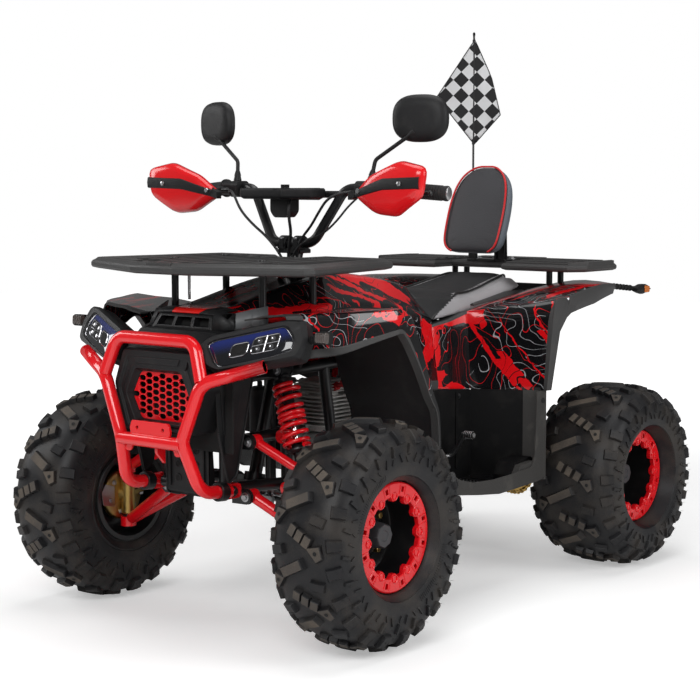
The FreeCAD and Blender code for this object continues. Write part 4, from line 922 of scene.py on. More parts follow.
shell.thickness = 0.003
shell.offset = 0

work = bmesh.new()
shield = rounded([(-704, 604), (-572, 604), (-636, 350), (-662, 334), (-690, 440)], 8)
slab(work, shield, "x", 122, 126)
tube(work, [at(127, y, z) for y, z in shield[::2]], 2.4, sides=8)
slab(work, rounded([(-690, 590), (-610, 590), (-646, 420), (-676, 440)], 8), "x", 126, 128.5)
piece("side_shields", work, [matt_plastic], "chassis", slot="dark_plastic", bevel=1.0, both=True)

# Headlamps: a dark glass in a thick bezel on each side, with a bright line round it. A small and a large
# reflector show in it, both with rounded bright rims, and the larger is split by a cross.
lamp_way = at(0.296, -0.871, 0.392)


def on_lamp(x, z, out=0.0):
    """A point on the lamp's sloping face, out in front of it by some millimetres."""
    return at(x, -722 + 0.34 * (x - 127) + 0.45 * (z - 626), z) + lamp_way * out


lens_edge = rounded([(128, 630), (142, 638), (278, 671), (303, 646), (304, 625), (264, 611), (168, 587),
                     (157, 592)], 7, 4)
bezel_edge = rounded([(108, 630), (128, 650), (275, 686), (316, 686), (330, 650), (328, 612), (163, 579),
                      (132, 588)], 7, 4)


def resampled(outline, count):
    """The outline again with evenly spread points."""
    loop = [Vector(p) for p in outline]
    loop.append(loop[0])
    runs = [(b - a).length for a, b in zip(loop, loop[1:])]
    total = sum(runs)
    made = []
    i = 0
    gone = 0.0
    for k in range(count):
        want = total * k / count
        while gone + runs[i] < want:
            gone += runs[i]
            i += 1
        made.append(tuple(loop[i].lerp(loop[i + 1], (want - gone) / runs[i])))
    return made


lens_loop, bezel_loop = resampled(lens_edge, 72), resampled(bezel_edge, 72)
work = bmesh.new()
bezel_steps = [(0.0, -34), (0.0, 0), (0.3, 8), (0.82, 8), (0.97, 3), (1.0, -6)]
loft(work, [[on_lamp(x, z, out) for x, z in between(bezel_loop, lens_loop, share)]
            for share, out in bezel_steps], caps=False)
piece("lamp_bezels", work, [matt_plastic], "chassis", slot="dark_plastic", both=True)


def lamp_glass(name):
    """Dark glass that turns deep blue towards its upper edge, with fine vertical ribs low down."""
    tree, inputs, where = effect(name, {"Colour": (0.004, 0.005, 0.008, 1), "Rim": (0.01, 0.022, 0.16, 1),
                                        "Roughness": 0.05})
    place = add(tree, "SeparateXYZ", {0: where}).outputs
    side = maths(tree, "ABSOLUTE", place["X"])
    top = maths(tree, "SUBTRACT", place["Z"], maths(tree, "MULTIPLY", side, 0.24))
    share = ramp(tree, top, 0.572, 0.604)
    colour = mixed(tree, share, inputs["Colour"], inputs["Rim"])
    rough = plus(tree, inputs["Roughness"], noise(tree, where, 30.0), 0.05)
    normal = raised(tree, noise(tree, where, 60.0), 0.04, 0.0005)
    effect_gives(tree, {"Base Color": colour, "Roughness": rough, "Normal": normal})
    return tree


lamp_dark = finish("headlamp glass", lamp_glass("headlamp glass"), {}, coat_weight=1.0, coat_roughness=0.02)
chrome = plain("chrome", (0.42, 0.42, 0.44), 0.05, 0.03, metallic=1.0)
work = bmesh.new()
lens_middle = [(215, 628)] * len(lens_loop)
dome = between(lens_loop, lens_middle, 0.05)
glass_rings = ((lens_loop, -8), (lens_loop, 2), (dome, 4.5))
loft(work, [[on_lamp(x, z, out) for x, z in loop] for loop, out in glass_rings], caps=False)
for k in range(1, 8):
    shares = (k / 8 - 0.125, k / 8)
    loft(work, [[on_lamp(x, z, 4.5 + 2.5 * (1 - (1 - s) ** 2)) for x, z in between(dome, lens_middle, s)]
                for s in shares], caps=False)
faced(work, [on_lamp(x, z, 7.0) for x, z in between(dome, lens_middle, 0.875)])
tube(work, [on_lamp(x, z, 3.2) for x, z in lens_loop + lens_loop[:1]], 1.1, sides=8, paint=1)


def reflector(work, x, z, wide, high, split):
    """A bright rounded frame on the glass over a near-black face of painted shade, with a painted-shade dish
    behind it, or a cross and four dishes.
    """
    lean = 0.24 * wide
    loop = rounded([(x - wide, z - high - lean), (x + wide, z - high + lean), (x + wide, z + high + lean),
                    (x - wide, z + high - lean)], 9, 5)
    tube(work, [on_lamp(u, v, 7.0) for u, v in loop + loop[:1]], 1.5, sides=8, paint=1)
    # the face inside each frame and the small reflector's dish are painted shade in near black
    faced(work, [on_lamp(u, v, 7.2) for u, v in loop], 2)
    if not split:
        spun(work, [(0, 8.4), (0.6, 8), (0.6, 6.4), (0.1, 0.2)], on_lamp(x, z, 7.2), lamp_way, 20, 2,
             closed=False)
        return
    for a, b, c, d in ((x - wide, z - lean, x + wide, z + lean), (x, z - high, x, z + high)):
        tube(work, [on_lamp(a, b, 7.6), on_lamp(c, d, 7.6)], 1.3, sides=8, paint=1)
    for u in (-0.5, 0.5):
        for v in (-0.5, 0.5):
            spot = on_lamp(x + u * wide, z + v * high + u * lean, 7.2)
            spun(work, [(0, 6.0), (0.7, 5.6), (0.7, 3.4), (0.1, 0.2)], spot, lamp_way, 16, 1, closed=False)


reflector(work, 198, 622, 17, 13, False)
reflector(work, 249, 636, 26, 16, True)
piece("headlamp_glass", work, [lamp_dark, chrome, painted_shade_black], "chassis", ["headlights"], "lens", both=True,
      smooth=40)

# Hood: one thin moulding from the vent box to the seat, gloss black with a printed pattern of red shards
# and fine contour lines, and matt edges below, near black as painted shade. The steering column passes
# through a hole in it.


def printed(name):
    """Gloss black with slanting red slashes, a few pale ones, and thin contour lines like those of a map."""
    tree, inputs, where = effect(name, {"Ground": (0.006, 0.006, 0.007, 1), "Red": (0.74, 0.006, 0.01, 1),
                                        "Pale": (0.4, 0.41, 0.43, 1), "Red Share": 0.3, "Line Share": 0.5,
                                        "Lean": 0.85, "Scale": 9.0, "Roughness": 0.1})
    place = add(tree, "SeparateXYZ", {0: where}).outputs
    side = maths(tree, "ABSOLUTE", place["X"])
    ragged = maths(tree, "MULTIPLY", noise(tree, where, 48.0, 3.0), 0.024)
    lean = maths(tree, "MULTIPLY", place["Z"], inputs["Lean"])
    across = maths(tree, "ADD", maths(tree, "SUBTRACT", lean, maths(tree, "MULTIPLY", place["Y"], 0.42)),
                   maths(tree, "MULTIPLY", side, 1.5))
    along = maths(tree, "ADD", maths(tree, "MULTIPLY", place["Z"], 0.5),
                  maths(tree, "MULTIPLY", place["Y"], 0.4))
    skew_x = maths(tree, "MULTIPLY", maths(tree, "ADD", across, ragged), 4.4)
    skew_y = plus(tree, along, side, 0.3)
    skewed = add(tree, "CombineXYZ", {0: skew_x, 1: skew_y}).outputs[0]
    cells = add(tree, "TexVoronoi", {"Vector": skewed, "Scale": inputs["Scale"],
                                     "Randomness": 1.0}).outputs["Color"]
    pick = add(tree, "SeparateColor", {0: cells}).outputs
    patch = ramp(tree, noise(tree, where, 7.0, 1.0), 0.36, 0.6)
    chance = maths(tree, "MULTIPLY", maths(tree, "ADD", patch, 0.2), inputs["Red Share"])
    red = maths(tree, "LESS_THAN", pick[0], chance)
    pale = maths(tree, "GREATER_THAN", pick[1], 0.992)
    level = maths(tree, "FRACT", maths(tree, "MULTIPLY", noise(tree, where, 8.5, 1.5), 17.0))
    near = maths(tree, "LESS_THAN", noise(tree, where, 5.3, 0.0), inputs["Line Share"])
    line = maths(tree, "MULTIPLY", maths(tree, "LESS_THAN", level, 0.058), near)
    second = maths(tree, "FRACT", maths(tree, "MULTIPLY", noise(tree, where, 11.0, 1.0, (1, 1.4, 0.8)), 9.0))
    red_line = maths(tree, "LESS_THAN", second, 0.04)
    colour = mixed(tree, red_line, inputs["Ground"], inputs["Red"])
    colour = mixed(tree, red, colour, inputs["Red"])
    colour = mixed(tree, pale, colour, inputs["Pale"])
    colour = mixed(tree, line, colour, mixed(tree, red, inputs["Pale"], inputs["Ground"]))
    rough = plus(tree, inputs["Roughness"], noise(tree, where, 40.0), 0.05)
    normal = raised(tree, noise(tree, where, 300.0), 0.05, 0.0003)
    effect_gives(tree, {"Base Color": colour, "Roughness": rough, "Normal": normal})
    return tree


print_group = printed("printed pattern")


def panel_print(name, red_share, lean, scale, line_share, **constants):
    """A glossy panel with the printed pattern."""
    values = {"Red Share": red_share, "Lean": lean, "Scale": scale, "Line Share": line_share}
    return finish(name, print_group, values, coat_weight=0.5, coat_roughness=0.03, **constants)


hood_print = panel_print("printed hood", 0.46, 0.5, 8.0, 0.42)
fender_print = panel_print("printed fender", 0.3, 0.6, 10.0, 0.56)


def eased(stations, count):
    """Stations with a smooth curve through them, count steps between each pair."""
    made = []
    for i in range(len(stations) - 1):
        a, b, c = stations[max(i - 1, 0)], stations[i], stations[i + 1]
        d = stations[min(i + 2, len(stations) - 1)]
        for k in range(count):
            t = k / count
            made.append(tuple(0.5 * (2 * q + (r - p) * t + (2 * p - 5 * q + 4 * r - s) * t * t
                                     + (3 * q - p - 3 * r + s) * t ** 3) for p, q, r, s in zip(a, b, c, d)))
    return made + [tuple(stations[-1])]


def sheet_faces(work, rows, paint=lambda i, j: 0):
    """Faces between rows of equally many points, open on every side."""
    verts = [[work.verts.new(p) for p in row] for row in rows]
    for i, (here, there) in enumerate(zip(verts, verts[1:])):
        for j in range(len(here) - 1):
            work.faces.new((here[j], here[j + 1], there[j + 1], there[j])).material_index = paint(i, j)


def walled(made, wall, offset=-1.0):
    """A modifier that gives a sheet its wall in millimetres; offset -1 puts it behind the faces."""
    shell = made.modifiers.new("wall", "SOLIDIFY")
    shell.thickness = wall / 1000
    shell.offset = offset
    shell.use_even_offset = True
    return made


def settled(made):
    """Applies every modifier."""
    fresh = bpy.data.meshes.new_from_object(made.evaluated_get(bpy.context.evaluated_depsgraph_get()))
    made.modifiers.clear()
    made.data = fresh


def cut_out(made, work):
    """Cuts the closed shapes in work (mm) out of a piece and applies its modifiers."""
    bmesh.ops.scale(work, vec=(0.001, 0.001, 0.001), verts=work.verts)
    mesh = bpy.data.meshes.new("cutter")
    work.to_mesh(mesh)
    work.free()
    cutter = bpy.data.objects.new("cutter", mesh)
    bpy.context.scene.collection.objects.link(cutter)
    hole = made.modifiers.new("holes", "BOOLEAN")
    hole.operation = "DIFFERENCE"
    hole.object = cutter
    hole.solver = "EXACT"
    settled(made)
    made.data.set_sharp_from_angle(angle=math.radians(34))
    bpy.data.objects.remove(cutter)


hood_stations = [(-640, 690, 88, 648, 146, 604, 154), (-560, 704, 86, 656, 152, 604, 160),
                 (-380, 742, 84, 690, 152, 600, 166), (-240, 756, 78, 692, 150, 560, 170),
                 (-70, 736, 74, 668, 150, 486, 168), (24, 716, 70, 640, 144, 472, 166)]
work = bmesh.new()
rows = []
for y, top, a, shoulder, b, foot, c in eased(hood_stations, 6):
    half = [(0.1 * a, top), (0.62 * a, top - 1.0), (0.8 * a, top + 1.5), (a, top - 4), (a + 4, top - 9),
            (0.5 * (a + b), 0.5 * (top + shoulder) - 6), (b - 5, shoulder + 5), (b - 1, shoulder),
            (b + 1, shoulder - 8), (0.5 * (b + c) + 1, 0.5 * (shoulder + foot)), (c - 1, foot + 22),
            (c + 1, foot + 20), (c, foot)]
    rows.append([at(x, y, z) for x, z in reversed(half)] + [at(-x, y, z) for x, z in half])


def hood_paint(i, j):
    """Unlit black low on the sides, grey along the other edges, printed elsewhere."""
    from_foot = min(j, 24 - j)
    if i < 23 and from_foot < 4:
        return 2
    return 1 if from_foot < 2 or i < 2 else 0


sheet_faces(work, rows, hood_paint)
hood = piece("hood_moulding", work, [hood_print, grey_plastic, painted_shade_black], "chassis", ["hood_shroud"],
             "painted_plastic")
walled(hood, 4.0)
work = bmesh.new()
middle = column_low + column_way * ((750 - column_low.z) / column_way.z)
spun(work, [(-90, 33), (90, 33)], middle, column_way, 40, closed=False)
for side in (-1, 1):
    for y in (-556, -392):
        tube(work, [at(side * 80, y, 540), at(side * 130, y, 640), at(side * 130, y, 779)], 10.5)
cut_out(hood, work)
work = bmesh.new()
spun(work, [(-4, 26), (-4, 37), (4, 37), (6, 34), (6, 26)], middle + column_way * 4, column_way, 40)
piece("column_boot_ring", work, [rubber_black], "chassis", slot="painted_plastic", bevel=1.0)

# Front fenders: a shell over each tyre with a deep outer side, a grey lip round its edge and a matt flap
# behind the wheel. The top and side carry the printed pattern, and the corner beside the lamp is grey.
fender_line = [(-640, 696, 272, -640, 602), (-600, 697, 309, -602, 606), (-556, 698, 350, -560, 613),
               (-499, 699, 375, -500, 630), (-440, 701, 398, -446, 646), (-418, 701, 400, -424, 648),
               (-394, 689, 400, -411, 636), (-376, 672, 400, -396, 618), (-341, 593, 400, -361, 566),
               (-310, 518, 400, -326, 503), (-289, 476, 400, -303, 470), (-283, 430, 400, -297, 428),
               (-281, 392, 400, -295, 391)]
work = bmesh.new()
rows = []
for y, z, x, lip_y, lip_z in eased(fender_line, 3):
    down = at(0, lip_y - y, lip_z - z)
    inner = at(154, y, z - 16)
    shoulder = at(x - 14, y, z)
    edge = at(x, y, z) + down * 0.13
    low = at(x, y, z) + down * 0.8
    rows.append([inner, inner.lerp(shoulder, 0.25), inner.lerp(shoulder, 0.5) + at(0, 0, 2.5),
                 inner.lerp(shoulder, 0.76), shoulder, shoulder.lerp(edge, 0.5) + at(3.4, 0, 2.2), edge,
                 edge.lerp(low, 0.5), low, low + down * 0.03 + at(3.5, 0, 0),
                 low + down * 0.17 + at(3.5, 0, 0), low + down * 0.2 + at(0, 0, 0),
                 low + down * 0.2 - at(16, 0, 0)])


def fender_paint(i, j):
    """Grey at the lip and the front edge, matt on the flap behind the wheel, printed elsewhere."""
    if j >= 8 or i < 2:
        return 1
    return 2 if i > 26 or (i > 20 and j < 4) else 0


sheet_faces(work, rows, fender_paint)
fender = piece("front_fender_shell_left", work, [fender_print, grey_plastic, matt_plastic], "chassis",
               ["front_fender_left"], "dark_plastic")
walled(fender, 3.6)
settled(fender)
fender.data.set_sharp_from_angle(angle=math.radians(40))
other_side(fender, "front_fender_shell_right", "chassis", ["front_fender_right"])

# Front rack: a moulded deck with a double chamfer on its edge, a raised rim and ribs, on four black posts.
# A thin bright rod stands beside the right front post.
deck_edge = mirrored([(77, -743), (314, -636), (322, -610), (257, -270), (62, -270), (62, -345)])


def deck(work, outline, levels):
    """A moulding from rings of the same outline, each drawn in by some millimetres."""
    loft(work, [[at(u, v, z) for u, v in drawn_in(outline, inset)] for inset, z in levels])


def drawn_in(outline, inset):
    """A closed outline with every edge moved inward."""
    made = []
    area = sum(a * d - b * c for (a, b), (c, d) in zip(outline, outline[1:] + outline[:1]))
    sign = 1 if area > 0 else -1
    for i, corner in enumerate(outline):
        here = Vector(corner)
        back = (here - Vector(outline[i - 1])).normalized()
        on = (Vector(outline[(i + 1) % len(outline)]) - here).normalized()
        first = Vector((-back.y, back.x)) * sign
        second = Vector((-on.y, on.x)) * sign
        middle = (first + second).normalized()
        made.append(tuple(here + middle * (inset / max(middle.dot(first), 0.3))))
    return made


work = bmesh.new()
deck(work, deck_edge, [(14, 772), (2.5, 775), (0, 779), (0, 786), (3, 790), (9, 793), (14, 797), (22, 797),
                       (26, 791)])
for x in range(-200, 201, 50):
    low = -655 + abs(x) * 0.3 if abs(x) > 60 else -690
    block(work, (x - 9, low, 790), (x + 9, -300 if abs(x) > 70 else -372, 796.6))
block(work, (-36, -737, 788), (36, -700, 797))
for side in (-1, 1):
    slab(work, rounded([(side * 90, -712), (side * 214, -658), (side * 206, -640), (side * 96, -686)], 5),
         "z", 788, 799)
    for y in (-556, -392):
        spun(work, [(0, 10), (2.5, 9.4), (3.0, 5)], at(side * 130, y, 797), along_z, 24, 1, closed=False)
piece("front_rack_deck_moulding", work, [grey_plastic, black_steel], "chassis", ["front_rack"],
      "dark_plastic", bevel=1.2, smooth=22)
work = bmesh.new()
for side in (-1, 1):
    for y in (-556, -392):
        tube(work, [at(side * 84, y, 552), at(side * 130, y, 640), at(side * 130, y, 774)], 8, 14, sides=24)
        tube(work, [at(side * 130, y, 766), at(side * 130, y, 774)], 13, sides=24)
tube(work, [at(-122, -520, 704), at(-122, -520, 773)], 3.4, sides=14, paint=1)
piece("front_rack_posts", work, [black_steel, bright_rod], "chassis", slot="black_steel")

# Rear rack: the same kind of deck, thinner at its rim, with a notch for the backrest and a block at
# each end.
rear_edge = [(300, 374), (332, 420), (332, 560), (290, 606), (-290, 606), (-332, 560), (-332, 420),
             (-300, 374), (-104, 374), (-104, 452), (104, 452), (104, 374)]
work = bmesh.new()
deck(work, rear_edge, [(10, 740), (2, 743), (0, 747), (0, 752), (4, 757), (8, 758)])
for side in (-1, 1):
    slab(work, rounded([(side * 112, 382), (side * 294, 382), (side * 324, 424), (side * 324, 556),
                        (side * 288, 598), (side * 112, 598)], 10), "z", 756, 762)
    for y in range(404, 580, 36):
        block(work, (min(side * 118, side * 290), y, 761), (max(side * 118, side * 290), y + 14, 765))
    for y in (530, 584):
        tube(work, [at(side * 97, y, 632), at(side * 150, y, 676), at(side * 150, y, 742)], 8, 14, sides=24,
             paint=1)
    slab(work, rounded([(side * 296, 380), (side * 330, 428), (side * 330, 552), (side * 306, 578),
                        (side * 306, 402)], 6), "z", 750, 765)
slab(work, oblong(-100, 532, 100, 598, 6), "z", 756, 765)
piece("rear_rack_deck_moulding", work, [grey_plastic, black_steel], "chassis", ["rear_rack"],
      "dark_plastic", bevel=1.2, smooth=22)

# Steering column: a 30 mm shaft in two frame bushes, with a forged pitman arm at its foot and a bolted
# clamp at its head that holds the handlebar.
column_radius = 15.0
work = bmesh.new()
tube(work, [column_low, column_top], column_radius, sides=32)
arm_outline = rounded([(-22, -20), (22, -20), (25, 46), (19, 62), (-19, 62), (-25, 46)], 7)
lift = [column_low + at(u, 0, 0) + pitman_way * v for u, v in arm_outline]
loft(work, [lift, [p + column_way * 10 for p in lift]], 1)
for side in (-1, 1):
    stud = column_low + pitman_way * steering_arm + at(side * 15, 0, 0)
    spun(work, [(0, 5), (33, 5), (34, 4)], stud, column_way, 16, 1, closed=False)
    spun(work, [(-5, 8.5), (0, 8.5)], stud, column_way, 6, 1, closed=False)
bar_y = -283.0
bar_low = at(0, -308, 826)
slab(work, rounded([(-34, 803), (34, 803), (34, 812), (28, 814.5), (-28, 814.5), (-34, 812)], 3), "y",
     bar_low.y - 14, bar_low.y + 22)
for side in (-1, 1):
    clamp = at(side * 21, bar_low.y, bar_low.z)
    spun(work, [(-11, 11.2), (-11, 17), (11, 17), (11, 11.2)], clamp, along_x, 28)
    block(work, (min(side * 10, side * 33), bar_low.y - 17, 813),
          (max(side * 10, side * 33), bar_low.y + 17, 818))
    for y in (-1, 1):
        bolt(work, clamp + at(0, y * 14.5, 11), along_z, 3.6, 1)
        block(work, (side * 21 - 6, bar_low.y + y * 15 - 3, 813),
              (side * 21 + 6, bar_low.y + y * 15 + 3, 837))
piece("steering_shaft_and_clamp", work, [black_steel, zinc_grey], "steering", ["steering_column"],
      "black_steel", bevel=0.8)

# Handlebar: 22 mm steel tube, bent up on both sides, with a thin brace across it and a foam pad on the
# brace. Rubber grips with ribs and a flange, and a bright plug in each end.
grip_end = at(380, -240, 939)
grip_start = at(200, bar_y + 8, 952)
grip_way = (grip_end - grip_start).normalized()
work = bmesh.new()
bar_half = [(60, -308, 826), (136, -287, 948), (200, -275, 952), (380, -240, 939)]
tube(work, [at(-x, y, z) for x, y, z in reversed(bar_half)] + [at(*p) for p in bar_half], 11, 40, sides=26,
     step=5)
brace_y, brace_z = bar_y - 8, 936
tube(work, [at(-128, brace_y, brace_z), at(128, brace_y, brace_z)], 8, sides=22)
piece("handlebar_tube", work, [black_steel], "steering", ["handlebar"], "black_steel")
grip_rubber = plain("grip rubber", (0.016, 0.016, 0.017), 0.7, 0.8, 0.1)
work = bmesh.new()
start = grip_start + grip_way * 42
length = (grip_end - start).length + 5
profile = [(0, 12), (0, 21), (4, 21.5), (6, 17.5)]
for i in range(int((length - 16) / 6)):
    profile += [(8 + 6 * i, 16.9), (11 + 6 * i, 16.9), (11.8 + 6 * i, 15.6), (13.2 + 6 * i, 15.6)]
profile += [(length - 5, 17), (length - 2, 16.6), (length - 1, 12)]
spun(work, profile, start, grip_way, 32)
spun(work, [(length - 3, 14), (length + 1, 14), (length + 2, 12.5)], start, grip_way, 28, 1, closed=False)
piece("ribbed_grips", work, [grip_rubber, bright_steel], "steering", ["grips"], "rubber", both=True)

# Hand guards: a bowed red moulding before each grip with a black band across it, on a black bracket that
# bolts to the bar. Each has a round-headed bolt.
guard_outline = resampled(rounded([(205, 935), (255, 975), (338, 1006), (409, 992), (400, 935), (329, 893),
                                   (268, 898)], 14, 5), 64)
gloss_guard = plain("glossy red plastic", (0.85, 0.008, 0.012), 0.16, 0.1, coat_weight=0.4,
                    coat_roughness=0.05)


def on_guard(x, z, out=0.0):
    """The guard's front: bowed about its length, and rolled back at its upper and lower edges."""
    bow = 9.0 * (1 - ((x - 310) / 105) ** 2) * max(0.0, 1 - ((z - 950) / 60) ** 2)
    return at(x, -344 - 0.11 * (x - 205) - bow - out, z)


def band_low(x):
    """The lower edge of the band on the guard."""
    return 925 + (x - 195) * 0.2 if x < 300 else 946 + (x - 300) * 0.03


def band_high(x):
    """The upper edge of the band on the guard."""
    return 940 + (x - 195) * 0.305 if x < 300 else 972 + (x - 300) * 0.03


work = bmesh.new()
guard_middle = [(306.0, 950.0)] * len(guard_outline)
rings = []
for share in (0.0, 0.03, 0.1, 0.3, 0.5, 0.7, 0.9):
    rolled = -14 * (1 - min(1, share / 0.1)) ** 2 - 2
    rings.append([on_guard(x, z, rolled) for x, z in between(guard_outline, guard_middle, share)])
loft(work, rings, caps=False)
faced(work, [on_guard(x, z, -2) for x, z in between(guard_outline, guard_middle, 0.9)])
guard = piece("hand_guard_shell_left", work, [gloss_guard], "steering", ["handguards"], "red_plastic",
              smooth=60)
walled(guard, 4.0, 1.0)
settled(guard)
other_side(guard, "hand_guard_shell_right", "steering")
work = bmesh.new()
rows = []
for i in range(25):
    x = 200 + 203 * i / 24
    low, high = band_low(x), band_high(x)
    rows.append([on_guard(x, low, 1.0), on_guard(x, low + 2, 4.0), on_guard(x, low * 0.5 + high * 0.5, 5.5),
                 on_guard(x, high - 2, 4.0), on_guard(x, high, 1.0)])
sheet_faces(work, rows)
tube(work, [at(222, -342, 944), at(222, -302, 948)], 6.5, sides=20)
spun(work, [(0, 5.6), (2.5, 5), (3.4, 2.6)], on_guard(352, 960, 5), at(0, -1, 0), 20, 1, closed=False)
spun(work, [(0, 6), (3, 5.4)], on_guard(226, 944, 5), at(0, -1, 0), 6, 1, closed=False)
slab(work, rounded([(196, 924), (214, 930), (214, 948), (196, 942)], 4), "y", -352, -336)
band = piece("hand_guard_band_left", work, [matt_plastic, bright_steel], "steering", ["handguard_bands"],
             "dark_plastic", smooth=40)
other_side(band, "hand_guard_band_right", "steering")

# Controls: a switch housing beside each grip with its lever, a red stop knob, the key, and the flat dash
# block over the brace with a grained pad below it.
work = bmesh.new()
for side in (-1, 1):
    slab(work, rounded([(-306, 932), (-298, 928), (-268, 930), (-262, 940), (-262, 960), (-270, 966),
                        (-298, 966), (-306, 958)], 5), "x", *sorted((side * 176, side * 199)))
    slab(work, oblong(-304, 934, -264, 963, 8), "x", *sorted((side * 200.5, side * 226)))
    tube(work, [at(side * 204, -300, 946), at(side * 236, -326, 944), at(side * 372, -292, 940)], 5, 14,
         sides=14, paint=1, step=6)
    spun(work, [(-6, 0.1), (-4, 5), (0, 6.5), (4, 5), (6, 0.1)], at(side * 374, -291.5, 940), along_x, 20, 1,
         closed=False)
    for k, z in enumerate((941, 956)):
        slab(work, oblong(side * 206, z - 4, side * 219, z + 4, 2), "y", -264, -258,
             2 if k == 0 and side > 0 else 0)
    spun(work, [(0, 6), (8, 5.4), (14, 4.6)], at(side * 200, -276, 966), at(0.06, 0.08, 1), 22, 0,
         closed=False)
spun(work, [(0, 8), (10, 9), (13, 8), (14, 5)], at(206, -262, 952), at(0, 1, 0.1), 24, 2, closed=False)
dash_edge = rounded([(-62, -420), (62, -420), (92, -352), (92, -300), (-92, -300), (-92, -352)], 7)
loft(work, [[at(u, v, z) for u, v in drawn_in(dash_edge, inset)]
            for inset, z in ((9, 926), (2, 930), (0, 934), (0, 946), (3, 950), (8, 950), (10, 947))])
for x, turned in ((-34, 0), (0, 1), (34, 0)):
    slab(work, oblong(x - 13, -392, x + 13, -366, 4), "z", 946.5, 949.5, turned)
spun(work, [(0, 13), (2, 13), (3, 11), (3, 5), (2, 4.6), (2, 0.1)], at(0, -334, 947), along_z, 32, 1,
     closed=False)
slab(work, [(-1.6, -348), (1.6, -348), (1.6, -322), (-1.6, -322)], "z", 949, 958, 1)
for out in (4.5, 9.0):
    line = [at(30 + out, -425 + out, 949.8), at(64 - out * 0.4, -421 + out, 949.8),
            at(92 - out, -352 + out * 0.4, 949.8), at(92 - out, -318, 949.8)]
    tube(work, line, 0.9, 8, sides=8, paint=1)
tube(work, [at(x, brace_y, brace_z) for x in (-66, -62, 62, 66)], [9, 13, 13, 9], sides=24, paint=3)
slab(work, rounded([(-30, 928), (30, 928), (30, 898), (18, 884), (-18, 884), (-30, 898)], 6), "y", -352, -322)
piece("switches_levers_and_dash", work, [matt_plastic, black_steel, gloss_guard, grip_rubber], "steering",
      ["controls"], "dark_plastic", bevel=1.0)

# Mirrors: a rounded black shell, turned a little inward, with a flat glass that faces the rider, on a bent
# steel stem with a rubber boot at each end.
mirror_middle = at(304, -238, 1102)
mirror_turn = math.radians(14)
mirror_across = at(math.cos(mirror_turn), math.sin(mirror_turn), 0)
mirror_back = at(math.sin(mirror_turn), -math.cos(mirror_turn), 0)


def mirror_ring(level, half, half_high):
    """A rounded oblong about the middle of the head, level millimetres towards the rider."""
    ring = []
    for k in range(56):
        turn = 2 * math.pi * k / 56
        across = math.copysign(abs(math.cos(turn)) ** 0.76, math.cos(turn)) * half
        upward = math.copysign(abs(math.sin(turn)) ** 0.76, math.sin(turn)) * half_high
        ring.append(mirror_middle + mirror_across * across - mirror_back * level + at(0, 0, upward))
    return ring


work = bmesh.new()
tube(work, [at(200, -276, 966), at(206, -268, 1012), at(296, -246, 1072)], 4.5, 16, sides=16, step=6)
spun(work, [(0, 9), (3, 9.4), (12, 7.4), (14, 8), (22, 6), (26, 4.4)], at(200, -276, 965),
     at(0.12, 0.16, 1), 22, closed=False)
spun(work, [(0, 8.6), (6, 8.8), (14, 6.6), (20, 5), (24, 4.4)], at(297, -245, 1073), at(-0.8, -0.2, -0.56),
     20, closed=False)
loft(work, [mirror_ring(level, 66 * grow, 52 * grow)
            for level, grow in ((-12, 0.5), (-11.4, 0.66), (-9, 0.82), (-4, 0.94), (3, 0.99),
                                (10, 1.0), (12, 0.985), (12.4, 0.93), (9, 0.915))])
piece("mirror_shells", work, [matt_plastic], "steering", ["mirrors"], "dark_plastic", both=True, smooth=40)
silvered = plain("silvered glass", (0.86, 0.87, 0.88), 0.02, 0.0, metallic=1.0)
work = bmesh.new()
loft(work, [mirror_ring(level, 60 * grow, 47 * grow) for level, grow in ((10, 1.0), (12.2, 1.0), (13, 0.97))])
piece("mirror_glasses", work, [silvered], "steering", ["mirror_glass"], "mirror", both=True)

# Cables: black sheaths from the levers and switches, tied together before the clamp and led down into
# the hood.
cable_black = plain("cable sheath", (0.014, 0.014, 0.015), 0.45, 0.3)


def cable(name, points, diameter, body, material):
    """A free cable on one smooth curve through listed points; both ends go into the object."""
    curve = bpy.data.curves.new(name, "CURVE")
    curve.dimensions = "3D"
    line = curve.splines.new("NURBS")
    line.points.add(len(points) - 1)
    for spot, (x, y, z) in zip(line.points, points):
        spot.co = (x / 1000, y / 1000, z / 1000, 1)
    line.order_u = 3
    line.use_endpoint_u = True
    line.resolution_u = 12
    curve.bevel_depth = diameter / 2000
    curve.bevel_resolution = 4
    curve.materials.append(material)
    made = bpy.data.objects.new(name, curve)
    bpy.context.scene.collection.objects.link(made)
    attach(made, body)
    return made


cable("brake_cable", [(200, -306, 942), (176, -330, 944), (140, -352, 930), (112, -352, 896),
                      (84, -344, 866), (52, -338, 840), (30, -328, 812), (20, -318, 784), (14, -310, 756)],
      6.0, "steering", cable_black)
cable("throttle_cable", [(-200, -306, 942), (-176, -328, 946), (-146, -346, 934), (-124, -350, 900),
                         (-92, -344, 868), (-56, -338, 842), (-32, -328, 812), (-20, -318, 784),
                         (-12, -310, 756)], 6.0, "steering", cable_black)
cable("switch_cable", [(178, -290, 932), (168, -312, 914), (146, -326, 880), (110, -330, 850),
                       (66, -334, 834), (36, -336, 818), (12, -326, 792), (4, -314, 756)], 4.8, "steering",
      cable_black)
cable("dash_lead", [(40, -360, 932), (46, -376, 912), (44, -372, 880), (36, -356, 852), (16, -340, 822),
                    (0, -326, 790), (-2, -316, 758)], 7.0, "steering", cable_black)

# Seat: a foam saddle under a stretched vinyl cover, black on top with grey side bolsters, sewn along a welt.
# The cover is blown up against its seams by a short cloth simulation. The backrest is made the same way.


